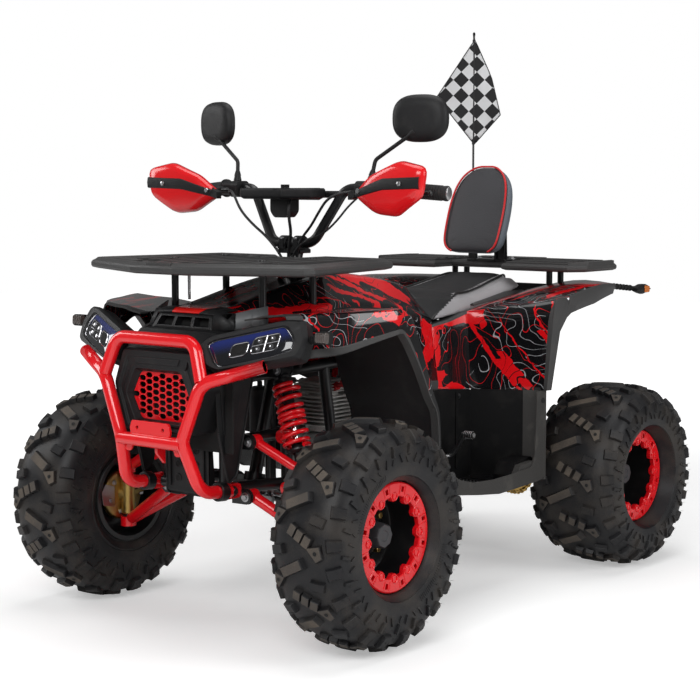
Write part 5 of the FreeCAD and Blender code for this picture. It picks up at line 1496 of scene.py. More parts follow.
def vinyl(name):
    """Grained vinyl with a soft sheen, faint creases and a cloudy tone."""
    tree, inputs, where = effect(name, {"Colour": (0.012, 0.012, 0.013, 1), "Side": (0.33, 0.32, 0.33, 1),
                                        "Roughness": 0.42, "Grain": 0.5})
    cloud = noise(tree, where, 12.0, 4.0)
    past_welt = add(tree, "Attribute", attribute_name="past_welt").outputs["Fac"]
    cover = mixed(tree, maths(tree, "GREATER_THAN", past_welt, 0.5), inputs["Colour"], inputs["Side"])
    tone = shaded(tree, cover, cloud, 0.84, 0.32)
    grain = add(tree, "TexVoronoi", {"Vector": where, "Scale": 620.0}).outputs["Distance"]
    creases = maths(tree, "MULTIPLY", noise(tree, where, 34.0, 3.0, (1, 0.35, 1)), 0.6)
    rough = plus(tree, inputs["Roughness"], cloud, 0.14)
    normal = raised(tree, maths(tree, "ADD", grain, creases), inputs["Grain"], 0.0008)
    effect_gives(tree, {"Base Color": tone, "Roughness": rough, "Normal": normal})
    return tree


vinyl_group = vinyl("vinyl")
seat_vinyl = finish("saddle vinyl", vinyl_group, {}, specular_ior_level=0.4)
rest_vinyl = finish("backrest vinyl", vinyl_group, {"Colour": (0.046, 0.046, 0.051, 1),
                                                    "Side": (0.12, 0.14, 0.165, 1), "Roughness": 0.46},
                    specular_ior_level=0.38)
welt_black = plain("black welt", (0.01, 0.01, 0.01), 0.4, 0.3)
welt_red = plain("red welt", (0.62, 0.01, 0.014), 0.36, 0.3)
thread = plain("grey thread", (0.34, 0.35, 0.36), 0.7, 0.4)


def plump(made, held, voxel=5.0, pressure=4.0):
    """Blows a closed cover up against the places that held(point in mm) keeps still."""
    even = made.modifiers.new("even mesh", "REMESH")
    even.mode = "VOXEL"
    even.voxel_size = voxel / 1000
    settled(made)
    seams = made.vertex_groups.new(name="seams")
    seams.add([v.index for v in made.data.vertices if held(v.co * 1000)], 1.0, "REPLACE")
    cover = made.modifiers.new("cover", "CLOTH")
    cover.settings.quality = 5
    cover.settings.tension_stiffness = 12
    cover.settings.compression_stiffness = 8
    cover.settings.bending_stiffness = 0.6
    cover.settings.use_pressure = True
    cover.settings.uniform_pressure_force = pressure
    cover.settings.effector_weights.gravity = 0
    cover.settings.vertex_group_mass = "seams"
    cover.point_cache.frame_end = 20
    for frame_number in range(1, 21):
        bpy.context.scene.frame_set(frame_number)
    settled(made)
    bpy.context.scene.frame_set(1)
    made.vertex_groups.clear()
    smooth = made.modifiers.new("smooth", "SUBSURF")
    smooth.levels = smooth.render_levels = 1
    settled(made)
    made.data.shade_smooth()


def tinted(made, where):
    """Marks how far each point lies past the welt, by where(point in mm); the colour changes at 0.5."""
    past = made.data.attributes.new("past_welt", "FLOAT", "POINT")
    for mark, vertex in zip(past.data, made.data.vertices):
        mark.value = where(vertex.co * 1000)


def stitches(work, line, step=9.0, long=4.2, paint=0):
    """A row of thread stitches along a line of points."""
    for here, there in zip(line, line[1:]):
        count = max(1, int((there - here).length / step))
        for k in range(count):
            middle = here.lerp(there, (k + 0.5) / count)
            way = (there - here).normalized() * long / 2
            tube(work, [middle - way, middle, middle + way], [0.5, 0.8, 0.5], sides=6, paint=paint)


saddle_stations = [(24.8, 714, 62, 632, 128), (90, 700, 90, 640, 140), (190, 696, 102, 653, 144),
                   (262, 702, 97, 664, 144), (350, 719, 88, 684, 140), (410, 730, 80, 694, 132),
                   (430, 724, 74, 698, 122), (438, 712, 66, 700, 112)]
work = bmesh.new()
rings = []
welt = []
for y, top, half, foot, foot_half in eased(saddle_stations, 8):
    side = [(foot_half - 12, foot - 1), (foot_half - 2, foot), (foot_half, foot + 5),
            (foot_half * 0.7 + half * 0.3 + 5, foot * 0.65 + top * 0.35),
            (foot_half * 0.35 + half * 0.65 + 8, foot * 0.32 + top * 0.68), (half + 7, top - 12),
            (half + 1, top - 6.5), (half * 0.9, top - 3), (half * 0.7, top - 0.8), (half * 0.4, top),
            (half * 0.14, top - 0.5)]
    rings.append([at(x, y, z) for x, z in side] + [at(-x, y, z) for x, z in reversed(side)])
    share = min(1, (y - 40) / 140)
    if share > 0.02:
        welt.append(at(foot_half + (half + 3 - foot_half) * share + 3 * math.sin(math.pi * share), y,
                       foot + (top - 5 - foot) * share))
loft(work, rings)
seat = piece("saddle", work, [seat_vinyl], "chassis", ["seat"], "seat_vinyl")


def beside_welt(point):
    """How far a point lies outside the welt, and the welt's place there."""
    near = min(welt, key=lambda p: abs(p.y - point.y))
    return abs(point.x) - near.x, point.z - near.z


def seat_held(point):
    """Whether the simulation keeps a point of the saddle still: the welt, the ends and the underside."""
    out, up = beside_welt(point)
    return math.hypot(out, up) < 5 or point.y < 30 or point.y > 433 or (up < -10 and abs(point.x) < 112)


def on_bolster(point):
    """How far past the welt a point of the saddle lies, for tinted()."""
    out, up = beside_welt(point)
    below = min(0.5 - up, out + 14)
    beside = min(out - 0.5, 0.3 * (point.y - 175))
    return 0.5 + max(below, beside)


plump(seat, seat_held)
tinted(seat, on_bolster)
work = bmesh.new()
for side in (1, -1):
    line = [at(side * (p.x + 0.8), p.y, p.z + 0.6) for p in welt]
    tube(work, line, 2.8, sides=10)
    stitches(work, [p + at(side * 2, 0, -5.5) for p in line[2:-2]], paint=1)
piece("saddle_welt", work, [welt_black, thread], "chassis", slot="seat_vinyl")

rest_low = at(0, 392, 782)
rest_way = (at(0, 468, 1003) - rest_low).normalized()
rest_through = at(0, rest_way.z, -rest_way.y)
rest_stations = [(1, 62, 15), (6, 74, 19), (18, 86, 23), (45, 92, 26), (110, 93, 26), (155, 88, 25),
                 (186, 78, 22), (208, 62, 18), (223, 40, 13), (229, 20, 8)]
work = bmesh.new()
rings = []
edge = []
for along, half, depth in eased(rest_stations, 4):
    middle = rest_low + rest_way * along
    ring = []
    for k in range(28):
        turn = 2 * math.pi * k / 28
        across = math.copysign(abs(math.cos(turn)) ** 0.55, math.cos(turn)) * half
        deep = math.copysign(abs(math.sin(turn)) ** 0.6, math.sin(turn)) * depth
        if deep < 0:
            across *= 1 - 0.1 * (deep / depth) ** 2
            deep *= 0.72
        ring.append(middle + at(across, 0, 0) + rest_through * deep)
    rings.append(ring)
    edge.append(middle + at(half * 0.9, 0, 0) - rest_through * depth * 0.56)
loft(work, rings)
rest = piece("backrest_cushion", work, [rest_vinyl], "chassis", ["backrest_pad"], "rest_vinyl")


def rest_held(point):
    """Whether the cloth simulation keeps a point of the backrest still: the welt and the back."""
    aside = at(abs(point.x), point.y, point.z)
    near = min((p - aside).length for p in edge)
    return near < 6 or (point - rest_low).dot(rest_through) > 18


def beside_front(point):
    """How far behind its welt a point of the backrest lies, for tinted()."""
    aside = at(abs(point.x), point.y, point.z)
    near = min(edge, key=lambda p: (p - aside).length)
    return (point - near).dot(rest_through) - 4.5


plump(rest, rest_held)
tinted(rest, beside_front)
work = bmesh.new()
line = edge + [at(-p.x, p.y, p.z) for p in reversed(edge)]
tube(work, [p - rest_through * 1.5 + (p - rest_low - rest_way * 115).normalized() * 1.5 for p in line], 2.6,
     sides=10)
piece("backrest_welt", work, [welt_red], "chassis", slot="rest_vinyl")

# Backrest bracket: two flat bars bent from a foot plate that is bolted on the rear rack, powder
# coated black.
work = bmesh.new()
for side in (-1, 1):
    slab(work, oblong(side * 31, 757, side * 57, 930, 9), "y", 459, 465)
    slab(work, [(453, 757), (459, 757), (459, 930), (453, 918)], "x", side * 31 - 2, side * 31 + 2)
    slab(work, [(465, 757), (471, 757), (465, 905), (465, 880)], "x", side * 57 - 2, side * 57 + 2)
    for z in (800, 905):
        bolt(work, at(side * 44, 465, z), along_y, 6, 1)
slab(work, oblong(-60, 453, 64, 520, 8), "z", 757, 762.5)
block(work, (-44, 459, 836), (44, 464, 858))
for x, y in ((-50, 500), (54, 500), (0, 500)):
    bolt(work, at(x, y, 762.5), along_z, 6.5, 1)
piece("backrest_stays", work, [black_steel, zinc_grey], "chassis", ["backrest_bracket"], "black_steel",
      bevel=1.0)

# Rear fenders: one moulding each side that wraps from the panel beside the seat, round the wall behind the
# rider's foot and over the wheel, with a web in its outer corner and a grey flange along the seat. The
# faces carry the printed pattern, and the edges are left dark grey and unpainted.
wall_foot = [(165, 24.3, 474), (169, 90, 468), (171, 150, 463), (211, 171, 463), (252, 193, 463),
             (292, 214, 463), (328, 232, 463), (338, 231, 463), (342, 246, 463)]
wall_head = [(146, 24.3, 624), (151, 90, 634), (158, 151, 651), (212, 163, 659), (268, 176, 667),
             (322, 189, 675), (364, 199, 682), (377, 203, 685), (380, 243, 689)]
deck_stations = [(262, 152, 668, 380, 692), (330, 151, 679, 377, 703), (400, 150, 688, 371, 711),
                 (480, 145, 694, 350, 711), (560, 136, 698, 322, 706), (610, 130, 700, 299, 700),
                 (640, 126, 699, 262, 698)]
side_print = panel_print("printed side", 0.86, 0.85, 9.0, 0.55, specular_ior_level=0.3)
work = bmesh.new()
rows = []
for share in (0, 0.05, 0.2, 0.4, 0.6, 0.78, 0.88, 0.93, 0.97, 1):
    row = [at(*low).lerp(at(*high), share) for low, high in zip(wall_foot, wall_head)]
    back = 26 * (max(0, share - 0.78) / 0.22) ** 2
    rows.append([p + at(0, back * min(1, max(0, j - 2) / 2) if j < 8 else 0, 0) for j, p in enumerate(row)])
sheet_faces(work, rows, lambda i, j: 1 if j > 5 or (i > 7 and j < 2) else 0)
under = [p + at(-38, 0, -3) for p in rows[-1][:3]]
sheet_faces(work, [rows[-1][:3], under], lambda i, j: 1)
rows = [rows[-1][2:8]]
for y, inner, inner_z, outer, outer_z in eased(deck_stations, 3):
    row = []
    for share in (0, 0.25, 0.5, 0.75, 0.94, 1):
        x = inner + (outer - inner) * share
        z = inner_z + (outer_z - inner_z) * share + 9 * math.sin(math.pi * share)
        row.append(at(x, y - 34 * share * max(0, (y - 600) / 40), z))
    rows.append(row)
sheet_faces(work, rows, lambda i, j: 1 if i > 16 else 2)
lip = []
for row in rows[1:]:
    edge = row[-1]
    reach = 46 if edge.y < 400 else 46 - 26 * (edge.y - 400) / 240
    lip.append([edge, edge + at(1.5, 0, -8), edge + at(-3, 0, -0.6 * reach), edge + at(-6, 0, -reach)])
sheet_faces(work, lip, lambda i, j: 1)
corner_web = [[(377, 204, 685), (368, 209, 640), (361, 215, 600), (355, 221, 565)],
          [(379, 250, 688), (374, 234, 650), (367, 226, 610), (356, 223, 566)],
          [(377, 296, 660), (374, 262, 640), (368, 240, 606), (357, 226, 565)]]
sheet_faces(work, [[at(*p) for p in row] for row in corner_web], lambda i, j: 1)
flange = [[], [], []]
flange_start = 190
for y in range(flange_start, 431, 30):
    along = y - flange_start
    inward = -0.06 * along
    crest = 668 + min(22, 0.12 * along + 0.3 * (1 + 0.055 * along))
    flange[0].append(at(152 + inward * 0.3, y, 664 + 0.09 * along))
    flange[1].append(at(146 + inward, y, crest))
    flange[2].append(at(128 + inward, y, 660))
sheet_faces(work, flange, lambda i, j: 1)
fender = piece("rear_fender_shell_left", work, [side_print, grey_plastic, fender_print], "chassis",
               ["rear_fender_left"], "painted_plastic")
walled(fender, 3.6)
soft = fender.modifiers.new("edge", "BEVEL")
soft.width = 0.0026
soft.segments = 2
soft.limit_method = "ANGLE"
soft.angle_limit = math.radians(28)
settled(fender)
fender.data.set_sharp_from_angle(angle=math.radians(40))
work = bmesh.new()
for y in (530, 584):
    tube(work, [at(134, y, 660), at(154, y, 720)], 12)
cut_out(fender, work)
other_side(fender, "rear_fender_shell_right", "chassis", ["rear_fender_right"])

# Footwells: a matt black moulding each side with a ribbed floor, an inner wall with three ribs, a step in
# two blocks, a grey outer skirt, and a rear wall that meets the fender. Bolts hold it to the frame and
# the fender.
floor_line = [(-218, 337), (-190, 312), (-128, 265), (-40, 251), (46, 243), (120, 246), (188, 250)]
inner_wall = [(-196, 470), (24, 473), (152, 462.7), (152, 250), (46, 243), (-40, 251), (-128, 265),
              (-214, 333)]
skirt_line = [(-216, 350), (-222, 338), (-170, 292), (-128, 258), (-40, 246), (46, 237), (186, 244),
              (222, 247), (240, 256), (240, 462.7), (202, 462.7), (198, 380), (194, 310), (182, 284),
              (100, 277), (20, 274), (-60, 278), (-116, 292), (-170, 324)]
work = bmesh.new()
slab(work, rounded(inner_wall, 9), "x", 168.5, 172)
slab(work, rounded(skirt_line, 7), "x", 326.5, 330.5, 2)
rows = [[at(x, y, z + (2 if 172 < x < 326 else 0)) for x in (172, 176, 220, 270, 322, 327)]
        for y, z in eased(floor_line, 3)]
sheet_faces(work, rows, lambda i, j: 0)
under = [[p - at(0, 0, 4) for p in row] for row in rows]
sheet_faces(work, [row[::-1] for row in under], lambda i, j: 0)
slab(work, [(171, 150), (284, 210), (284, 215), (171, 155)], "z", 246, 462.7)
slab(work, [(284, 209), (300, 216), (331, 235), (331, 241), (284, 215)], "z", 246, 463.4, 2)
for y in (-120, -20, 90):
    slab(work, [(y - 5, 276), (y + 5, 274), (y + 4, 460), (y - 4, 461)], "x", 172, 175)
slab(work, [(118, 250), (206, 250), (214, 300), (206, 304), (136, 296), (118, 268)], "x", 262, 310)
slab(work, [(120, 250), (196, 250), (198, 296), (138, 292), (120, 268)], "x", 310, 326.6, 2)
for i in range(9):
    y = -64 + 24 * i
    z = 251 if y < 0 else 246
    block(work, (190, y - 4, z), (312, y + 4, z + 4.5))
for i in range(13):
    spun(work, [(0, 3.2), (3.2, 2.4)], at(198 + 9 * i, 176, 251), along_z, 8, closed=False)
for y, z in ((-30, 452), (100, 450)):
    bolt(work, at(172, y, z), along_x, 4.5, 1)
bolt(work, at(330.5, 226, 440), along_x, 4.5, 1)
well_black = plain("footwell plastic", (0.004, 0.004, 0.0045), 0.5, 1.0, 0.02, specular_ior_level=0.16)
well_grey = plain("footwell edge plastic", (0.045, 0.043, 0.041), 0.5, 1.0, 0.1, specular_ior_level=0.3)
well = piece("footwell_moulding_left", work, [well_black, black_steel, well_grey], "chassis",
             ["footwell_left"], "dark_plastic", bevel=1.4, smooth=30)
other_side(well, "footwell_moulding_right", "chassis", ["footwell_right"])

# Footpegs: serrated steel pegs on welded arms. The gear lever is on the left, with a rubber pad on
# its toe piece.
work = bmesh.new()
teeth = [(186, 257), (318, 257), (318, 266)]
for i in range(12):
    teeth += [(312 - 10 * i, 266), (308 - 10 * i, 261.5), (305 - 10 * i, 261.5)]
teeth += [(188, 266), (186, 262)]
for y in (-26, 20):
    slab(work, teeth, "y", y, y + 6)
block(work, (186, -20, 257), (318, 20, 260))
for side in (-20, 14):
    slab(work, [(side, 257), (side + 6, 257), (side + 6, 265), (side, 265)], "x", 250, 256)
block(work, (96, -14, 257.5), (190, 14, 265))
block(work, (96, -14, 226), (113, 14, 264))
bolt(work, at(150, 0, 265), along_z, 7, 1)
piece("footpeg_pair", work, [black_steel, zinc_grey], "chassis", ["footpegs"], "black_steel", both=True,
      bevel=0.7)
work = bmesh.new()
tube(work, [at(70, -20, 300), at(140, 6, 300), at(186, 54, 312), at(208, 52, 342), at(226, 46, 366)], 5.5,
     22, sides=16)
spun(work, [(-8, 10), (8, 10)], at(74, -20, 300), along_x, 24, closed=False)
tube(work, [at(222, 46, 368), at(256, 46, 368)], 5.5, sides=16)
tube(work, [at(228, 46, 368), at(254, 46, 368)], 8.5, sides=20, paint=1)
for i in range(5):
    tube(work, [at(230 + 5 * i, 46, 368), at(232 + 5 * i, 46, 368)], 9.6, sides=20)
piece("gear_lever", work, [zinc_grey, rubber_black], "chassis", slot="zinc", bevel=0.4)

# Lamps: turn lamps on ribbed black stalks, smoked in front and amber behind, and a red tail lamp
# under the rear rack.


def moulded_lens(name):
    """Coloured clear plastic with fine flutes on its inner face."""
    tree, inputs, where = effect(name, {"Colour": (1, 0.3, 0.02, 1), "Roughness": 0.1})
    flutes = add(tree, "TexWave", {"Vector": where, "Scale": 90.0, "Distortion": 0.0},
                 bands_direction="Z").outputs["Fac"]
    tone = mixed(tree, maths(tree, "MULTIPLY", noise(tree, where, 60.0), 0.3), inputs["Colour"],
                 (0.1, 0.02, 0.004, 1))
    effect_gives(tree, {"Base Color": tone, "Roughness": inputs["Roughness"],
                        "Normal": raised(tree, flutes, 0.5, 0.0008)})
    return tree


lens_group = moulded_lens("moulded lens")
amber_glass = finish("amber lens", lens_group, {"Colour": (0.75, 0.2, 0.02, 1)}, coat_weight=0.7,
                     coat_roughness=0.03)
smoked_glass = finish("smoked lens", lens_group, {"Colour": (0.09, 0.085, 0.08, 1)}, coat_weight=0.7,
                      coat_roughness=0.03)
red_glass = finish("red lens", lens_group, {"Colour": (0.5, 0.008, 0.01, 1)}, coat_weight=0.7,
                   coat_roughness=0.03)
work = bmesh.new()
tube(work, [at(288, -626, 640), at(362, -626, 650)], 7, sides=20, paint=1)
for i in range(7):
    tube(work, [at(296 + 7 * i, -626, 641 + 1.1 * i), at(299 + 7 * i, -626, 641.4 + 1.1 * i)], 9, sides=20,
         paint=1)
slab(work, rounded([(-642, 640), (-614, 638), (-612, 664), (-640, 666)], 7), "x", 348, 372, paint=1)
for i in range(4):
    block(work, (350 + 6 * i, -643, 643), (353 + 6 * i, -640, 663))
slab(work, rounded([(-642.4, 642), (-628, 641), (-627, 663), (-641, 664.5)], 6), "x", 346.5, 373.5)
front_turn = piece("front_turn_lamp_left", work, [smoked_glass, rubber_black], "chassis", ["indicators"],
                   "amber_lens", bevel=1.2)
other_side(front_turn, "front_turn_lamp_right", "chassis")
work = bmesh.new()
tube(work, [at(262, 612, 697), at(300, 740, 682)], 6, sides=20, paint=1)
for i in range(6):
    tube(work, [at(272 + 3.2 * i, 646 + 11 * i, 693 - 1.3 * i),
                at(273 + 3.2 * i, 650 + 11 * i, 692.6 - 1.3 * i)], 8, sides=20, paint=1)
loft(work, [[at(u, y, 682 + v) for u, v in ((293 + 0.5 * d, -d), (307 - 0.5 * d, -d), (313, 0),
                                            (307, d), (293, d), (287, 0))]
            for y, d in ((706, 4), (718, 9), (736, 13), (752, 13), (766, 9), (771, 4))], 1)
slab(work, rounded([(738, 673), (762, 674), (762, 690), (738, 692)], 4), "x", 312, 314.5)
rear_turn = piece("rear_turn_lamp_left", work, [amber_glass, rubber_black], "chassis", slot="amber_lens",
                  bevel=1.2)
other_side(rear_turn, "rear_turn_lamp_right", "chassis")
work = bmesh.new()
slab(work, oblong(-69, 655, 69, 691, 9), "y", 644, 657, paint=1)
slab(work, oblong(-64, 659, 64, 687, 8), "y", 656, 667)
for i in range(-7, 8):
    block(work, (i * 8 - 1.2, 666, 662), (i * 8 + 1.2, 668, 684))
block(work, (-30, 628, 645), (30, 650, 657), paint=1)
piece("tail_lamp", work, [red_glass, matt_plastic], "chassis", ["tail_light"], "red_lens", bevel=1.0)

# Engine: an air-cooled single of cast alloy. The crankcase carries two round covers with a ring of screws,
# and the barrel stands on it with eight thin cooling fins under a finned head with its spark plug.


def cast(name):
    """Sand-cast alloy: a rough grey skin with brighter high spots and dirt in the hollows."""
    tree, inputs, where = effect(name, {"Colour": (0.46, 0.46, 0.46, 1), "Roughness": 0.46, "Grit": 0.6,
                                        "Dirt": 0.4})
    skin = noise(tree, where, 240.0, 3.0)
    cloud = noise(tree, where, 16.0, 4.0)
    dirt = maths(tree, "MULTIPLY", ramp(tree, cloud, 0.5, 0.72), inputs["Dirt"])
    tone = shaded(tree, inputs["Colour"], skin, 0.8, 0.4)
    colour = mixed(tree, dirt, tone, (0.1, 0.09, 0.08, 1))
    rough = plus(tree, inputs["Roughness"], dirt, 0.3)
    effect_gives(tree, {"Base Color": colour, "Roughness": rough,
                        "Normal": raised(tree, skin, inputs["Grit"], 0.0007)})
    return tree


cast_group = cast("cast alloy")
alloy = finish("cast alloy", cast_group, {}, metallic=0.35)
bright_alloy = finish("machined alloy", cast_group, {"Colour": (0.5, 0.49, 0.47, 1), "Roughness": 0.38,
                                                     "Grit": 0.3, "Dirt": 0.1}, metallic=0.3)
cap_red = plain("red plug lead", (0.5, 0.012, 0.014), 0.4, 0.3)
case_line = [(-250, 252), (-60, 246), (66, 262), (88, 330), (30, 392), (-120, 398), (-262, 380), (-278, 300)]
work = bmesh.new()
case = rounded(case_line, 24)
loft(work, [[at(x, *p) for p in (drawn_in(case, 7) if abs(x) > 60 or x == 44 else case)]
            for x in (-78, -70, -18)])
loft(work, [[at(x, *p) for p in (drawn_in(case, 7) if x == 44 else case)] for x in (-17.4, 36, 44)])
loft(work, [[at(x, *p) for p in drawn_in(case, -2.5)] for x in (-22, -13)])
for centre, way, radius in ((at(-76, -60, 318), at(-1, 0, 0), 66), (at(42, -150, 320), along_x, 58)):
    deep = 28 if way.x < 0 else 33
    spun(work, [(0, radius), (deep - 8, radius), (deep - 3, radius - 4), (deep, radius - 12),
                (deep, radius - 24), (deep - 3, radius - 27), (deep - 3, 12), (deep + 1, 9),
                (deep + 1, 0.1)], centre, way, 56, closed=False)
    for turn in turns(8, 0.3):
        place = centre + around(0, radius + 1, turn) + way * (deep - 14)
        spun(work, [(-12, 7), (3, 7), (3, 4), (7, 4), (7, 0.1)], place, way, 16, 1, closed=False)
for i in range(6):
    slab(work, oblong(-236 + 44 * i, 262, -230 + 44 * i, 300, 2), "x", -84, -76)
for y in (-258, 60):
    block(work, (-30, y - 10, 232), (30, y + 10, 268))
tube(work, [at(-20, 24, 386), at(-20, 24, 404)], 13, sides=24, paint=2)
tube(work, [at(40, 40, 318), at(63, 40, 318)], 12, sides=24, paint=1)
piece("crankcase", work, [alloy, bright_alloy, matt_plastic], "chassis", ["engine"], "alloy", bevel=1.0)
work = bmesh.new()
fin = oblong(-58, -266, 58, -150, 16)
tube(work, [at(0, -208, 388), at(0, -208, 480)], 38, sides=40)
for i in range(8):
    z = 404 + 9.2 * i
    slab(work, fin, "z", z, z + 3.2)
for i in range(4):
    slab(work, oblong(-50, -258, 50, -158, 14), "z", 480 + 7 * i, 483 + 7 * i)
loft(work, [[at(u, v, z) for u, v in drawn_in(oblong(-46, -254, 46, -162, 18), inset)]
            for inset, z in ((4, 478), (4, 503), (9, 508))])
for x in (-32, 32):
    for y in (-240, -176):
        spun(work, [(0, 8), (0, 8), (6, 8), (6, 5), (8, 4), (8, 0.1)], at(x, y, 502), along_z, 6, 1,
             closed=False)
spun(work, [(0, 10), (10, 10), (10, 6), (26, 6), (26, 9), (46, 8), (50, 4)], at(44, -214, 492),
     at(0.94, -0.1, 0.34), 20, 2, closed=False)
tube(work, [at(86, -219, 507), at(112, -224, 520), at(92, -196, 548), at(60, -120, 560)], 3.6, 24, sides=12,
     paint=2)
piece("cylinder_and_head", work, [bright_alloy, alloy, cap_red], "chassis", slot="alloy", bevel=0.8)

# Carburettor: a small slide carburettor with its float bowl, between the head's intake elbow and the air
# box. A bent hose, a red lead and a canister beside the front frame belong to the same piece.
work = bmesh.new()
tube(work, [at(18, -162, 462), at(18, -146, 452), at(18, -138, 450)], 17, sides=28)
spun(work, [(0, 20), (5, 20), (5, 16), (22, 16), (22, 20), (40, 20), (40, 15)], at(18, -146, 450), along_y,
     32, closed=False)
spun(work, [(0, 11), (3, 16), (14, 17.5), (15, 19), (18, 19), (18, 15), (38, 14)], at(18, -122, 417),
     along_z, 28, closed=False)
spun(work, [(0, 15), (26, 15), (26, 17), (36, 17), (38, 8), (52, 4)], at(18, -122, 452), along_z, 28, 1,
     closed=False)
bolt(work, at(18, -122, 417), at(0, 0, -1), 6, 2)
tube(work, [at(30, -240, 520), at(52, -262, 540), at(60, -268, 572), at(44, -240, 596), at(20, -190, 600)],
     9, 26, sides=20)
for x, y, z in ((56, -266, 560), (40, -236, 594)):
    tube(work, [at(x, y, z - 5), at(x, y, z + 5)], 12, sides=20, paint=3)
tube(work, [at(70, -150, 556), at(96, -190, 566), at(92, -236, 560), at(60, -262, 552)], 3.2, 20, sides=12,
     paint=3)
bolt(work, at(38, -116, 440), along_x, 4, 2)
slab(work, oblong(-50, -96, 50, 30, 14), "z", 421, 519, paint=1)
slab(work, oblong(-53, -99, 53, 33, 15), "z", 496, 502, paint=1)
for z in (440, 455, 470):
    slab(work, oblong(-51.5, -80, 51.5, 16, 6), "z", z, z + 4, paint=1)
spun(work, [(0, 10), (3, 24), (128, 24), (134, 16), (134, 6), (146, 6)], at(-88, -326, 360), along_z, 28, 1)
piece("carburettor_and_air_box", work, [bright_alloy, matt_plastic, brass, cap_red], "chassis",
      ["carburettor"], "alloy", bevel=0.8)

# Exhaust: a mandrel-bent steel header down the right side and a round silencer with two straps
# inside the wheel.


def heated(name):
    """Steel that has been hot: brown and blue bands by the head and soot further on."""
    tree, inputs, where = effect(name, {"Colour": (0.34, 0.33, 0.32, 1), "Roughness": 0.38, "Heat": 1.0})
    place = add(tree, "SeparateXYZ", {0: where}).outputs
    hot = maths(tree, "MULTIPLY", ramp(tree, maths(tree, "MULTIPLY", place["Y"], -1.0), -0.05, 0.2),
                inputs["Heat"])
    stain = maths(tree, "MULTIPLY", hot, noise(tree, where, 26.0, 4.0))
    colour = mixed(tree, stain, inputs["Colour"], (0.16, 0.07, 0.03, 1))
    rough = plus(tree, inputs["Roughness"], noise(tree, where, 70.0, 3.0), 0.2)
    normal = raised(tree, noise(tree, where, 320.0, 2.0), 0.25, 0.0005)
    effect_gives(tree, {"Base Color": colour, "Roughness": rough, "Normal": normal})
    return tree


heated_group = heated("heated steel")
hot_steel = finish("header steel", heated_group, {}, metallic=0.9)
silencer_black = plain("silencer enamel", (0.02, 0.02, 0.02), 0.55, 0.7, 0.3)
work = bmesh.new()
tube(work, [at(-48, -206, 448), at(-140, -206, 448), at(-144, -130, 372), at(-144, 120, 372),
            at(-162, 400, 440)], 14, 34, sides=28, step=6)
spun(work, [(0, 24), (7, 24), (7, 15)], at(-52, -206, 448), at(-1, 0, 0), 28, closed=False)
silencer_low, silencer_high = at(-162, 396, 439), at(-162, 640, 470)
silencer_way = (silencer_high - silencer_low).normalized()
spun(work, [(-4, 15), (2, 26), (10, 38), (18, 42), (222, 42), (228, 43), (232, 43), (236, 38), (240, 22),
            (240, 12), (214, 11)], silencer_low, silencer_way, 48, 1, closed=False)
for along in (60, 176):
    spun(work, [(along, 42), (along, 43.6), (along + 16, 43.6), (along + 16, 42)], silencer_low,
         silencer_way, 48, 2)
    middle = silencer_low + silencer_way * (along + 8)
    tube(work, [middle + at(30, 0, 31), middle + at(52, 0, 92), at(95, middle.y, 626) - at(180, 0, 0)], 5,
         14, sides=12, paint=1)
piece("exhaust_pipe", work, [hot_steel, silencer_black, zinc_grey], "chassis", ["exhaust"], "steel",
      bevel=0.6)

# Swingarm: two tubes from the pivot to a round axle carrier with four clamp bolts, black. The axle
# is bare steel.
axle_line = at(0, rear_axle, 228.5)
work = bmesh.new()
tube(work, [at(-88, 150, 290), at(88, 150, 290)], 17, sides=32)
for side in (-1, 1):
    tube(work, [at(side * 38, 150, 290), at(side * 38, 501, 238)], 16, sides=28)
    ends = sorted((side * 13.5, side * 19.5))
    slab(work, oblong(370, 250, 402, 334, 12), "x", *ends)
    bolt(work, at(side * 19.5, 386, 320), at(side, 0, 0), 8, 1)
    spun(work, [(0, 24), (4, 24), (4, 10), (9, 10), (9, 0.1)], at(side * 88, 150, 290), at(side, 0, 0), 24, 1,
         closed=False)
tube(work, [at(-38, 386, 256), at(38, 386, 256)], 12, sides=24)
spun(work, [(-50, 16.5), (-50, 30), (-46, 36), (-16, 36), (-12, 33), (12, 33), (16, 36), (46, 36), (50, 30),
            (50, 16.5)], axle_line, along_x, 44)
for x in (-32, 32):
    for y in (-10, 10):
        bolt(work, axle_line + at(x, y, 34), along_z, 6, 1)
piece("swingarm_and_carrier", work, [black_steel, zinc_grey], "chassis", ["swingarm"], "black_steel",
      bevel=0.8)
work = bmesh.new()
spun(work, [(-377, 0.1), (-377, 13.6), (-375, 15), (375, 15), (377, 13.6), (377, 0.1)], axle_line, along_x,
     36, closed=False)
for side in (-1, 1):
    spun(work, [(0, 15), (0, 22), (16, 22), (16, 15)], axle_line + at(side * 53, 0, 0), at(side, 0, 0), 6, 1)
piece("axle_shaft", work, [bright_steel, zinc_grey], "rear_axle", ["rear_axle"], "steel", bevel=0.6)

# Chain drive: a thirty-tooth sprocket with five holes on a bolted hub, and a roller chain with gold side
# plates. Each link has two plates with round ends, and a roller at each pin.
chain_pitch = 17.4
sprocket_teeth, output_teeth = 30, 12
sprocket_radius = chain_pitch / (2 * math.sin(math.pi / sprocket_teeth))
output_radius = chain_pitch / (2 * math.sin(math.pi / output_teeth))
gold = plain("gold side plates", (0.72, 0.46, 0.12), 0.3, 0.3, 0.35, metallic=0.9)
oily = plain("oily rollers", (0.05, 0.045, 0.04), 0.35, dust=0.3, metallic=0.8)
sprocket_middle = axle_line + at(66, 0, 0)


def on_circle(middle, radius, turn):
    """A point (y, z) at an angle round a middle."""
    return middle.y + radius * math.cos(turn), middle.z + radius * math.sin(turn)


def toothed(middle, radius, teeth, high):
    """A sprocket's outline: its tips stand high over radius and its roots lie as far below."""
    return [on_circle(middle, radius + high * math.cos(2 * math.pi * i / 6), turn)
            for i, turn in enumerate(turns(teeth * 6))]


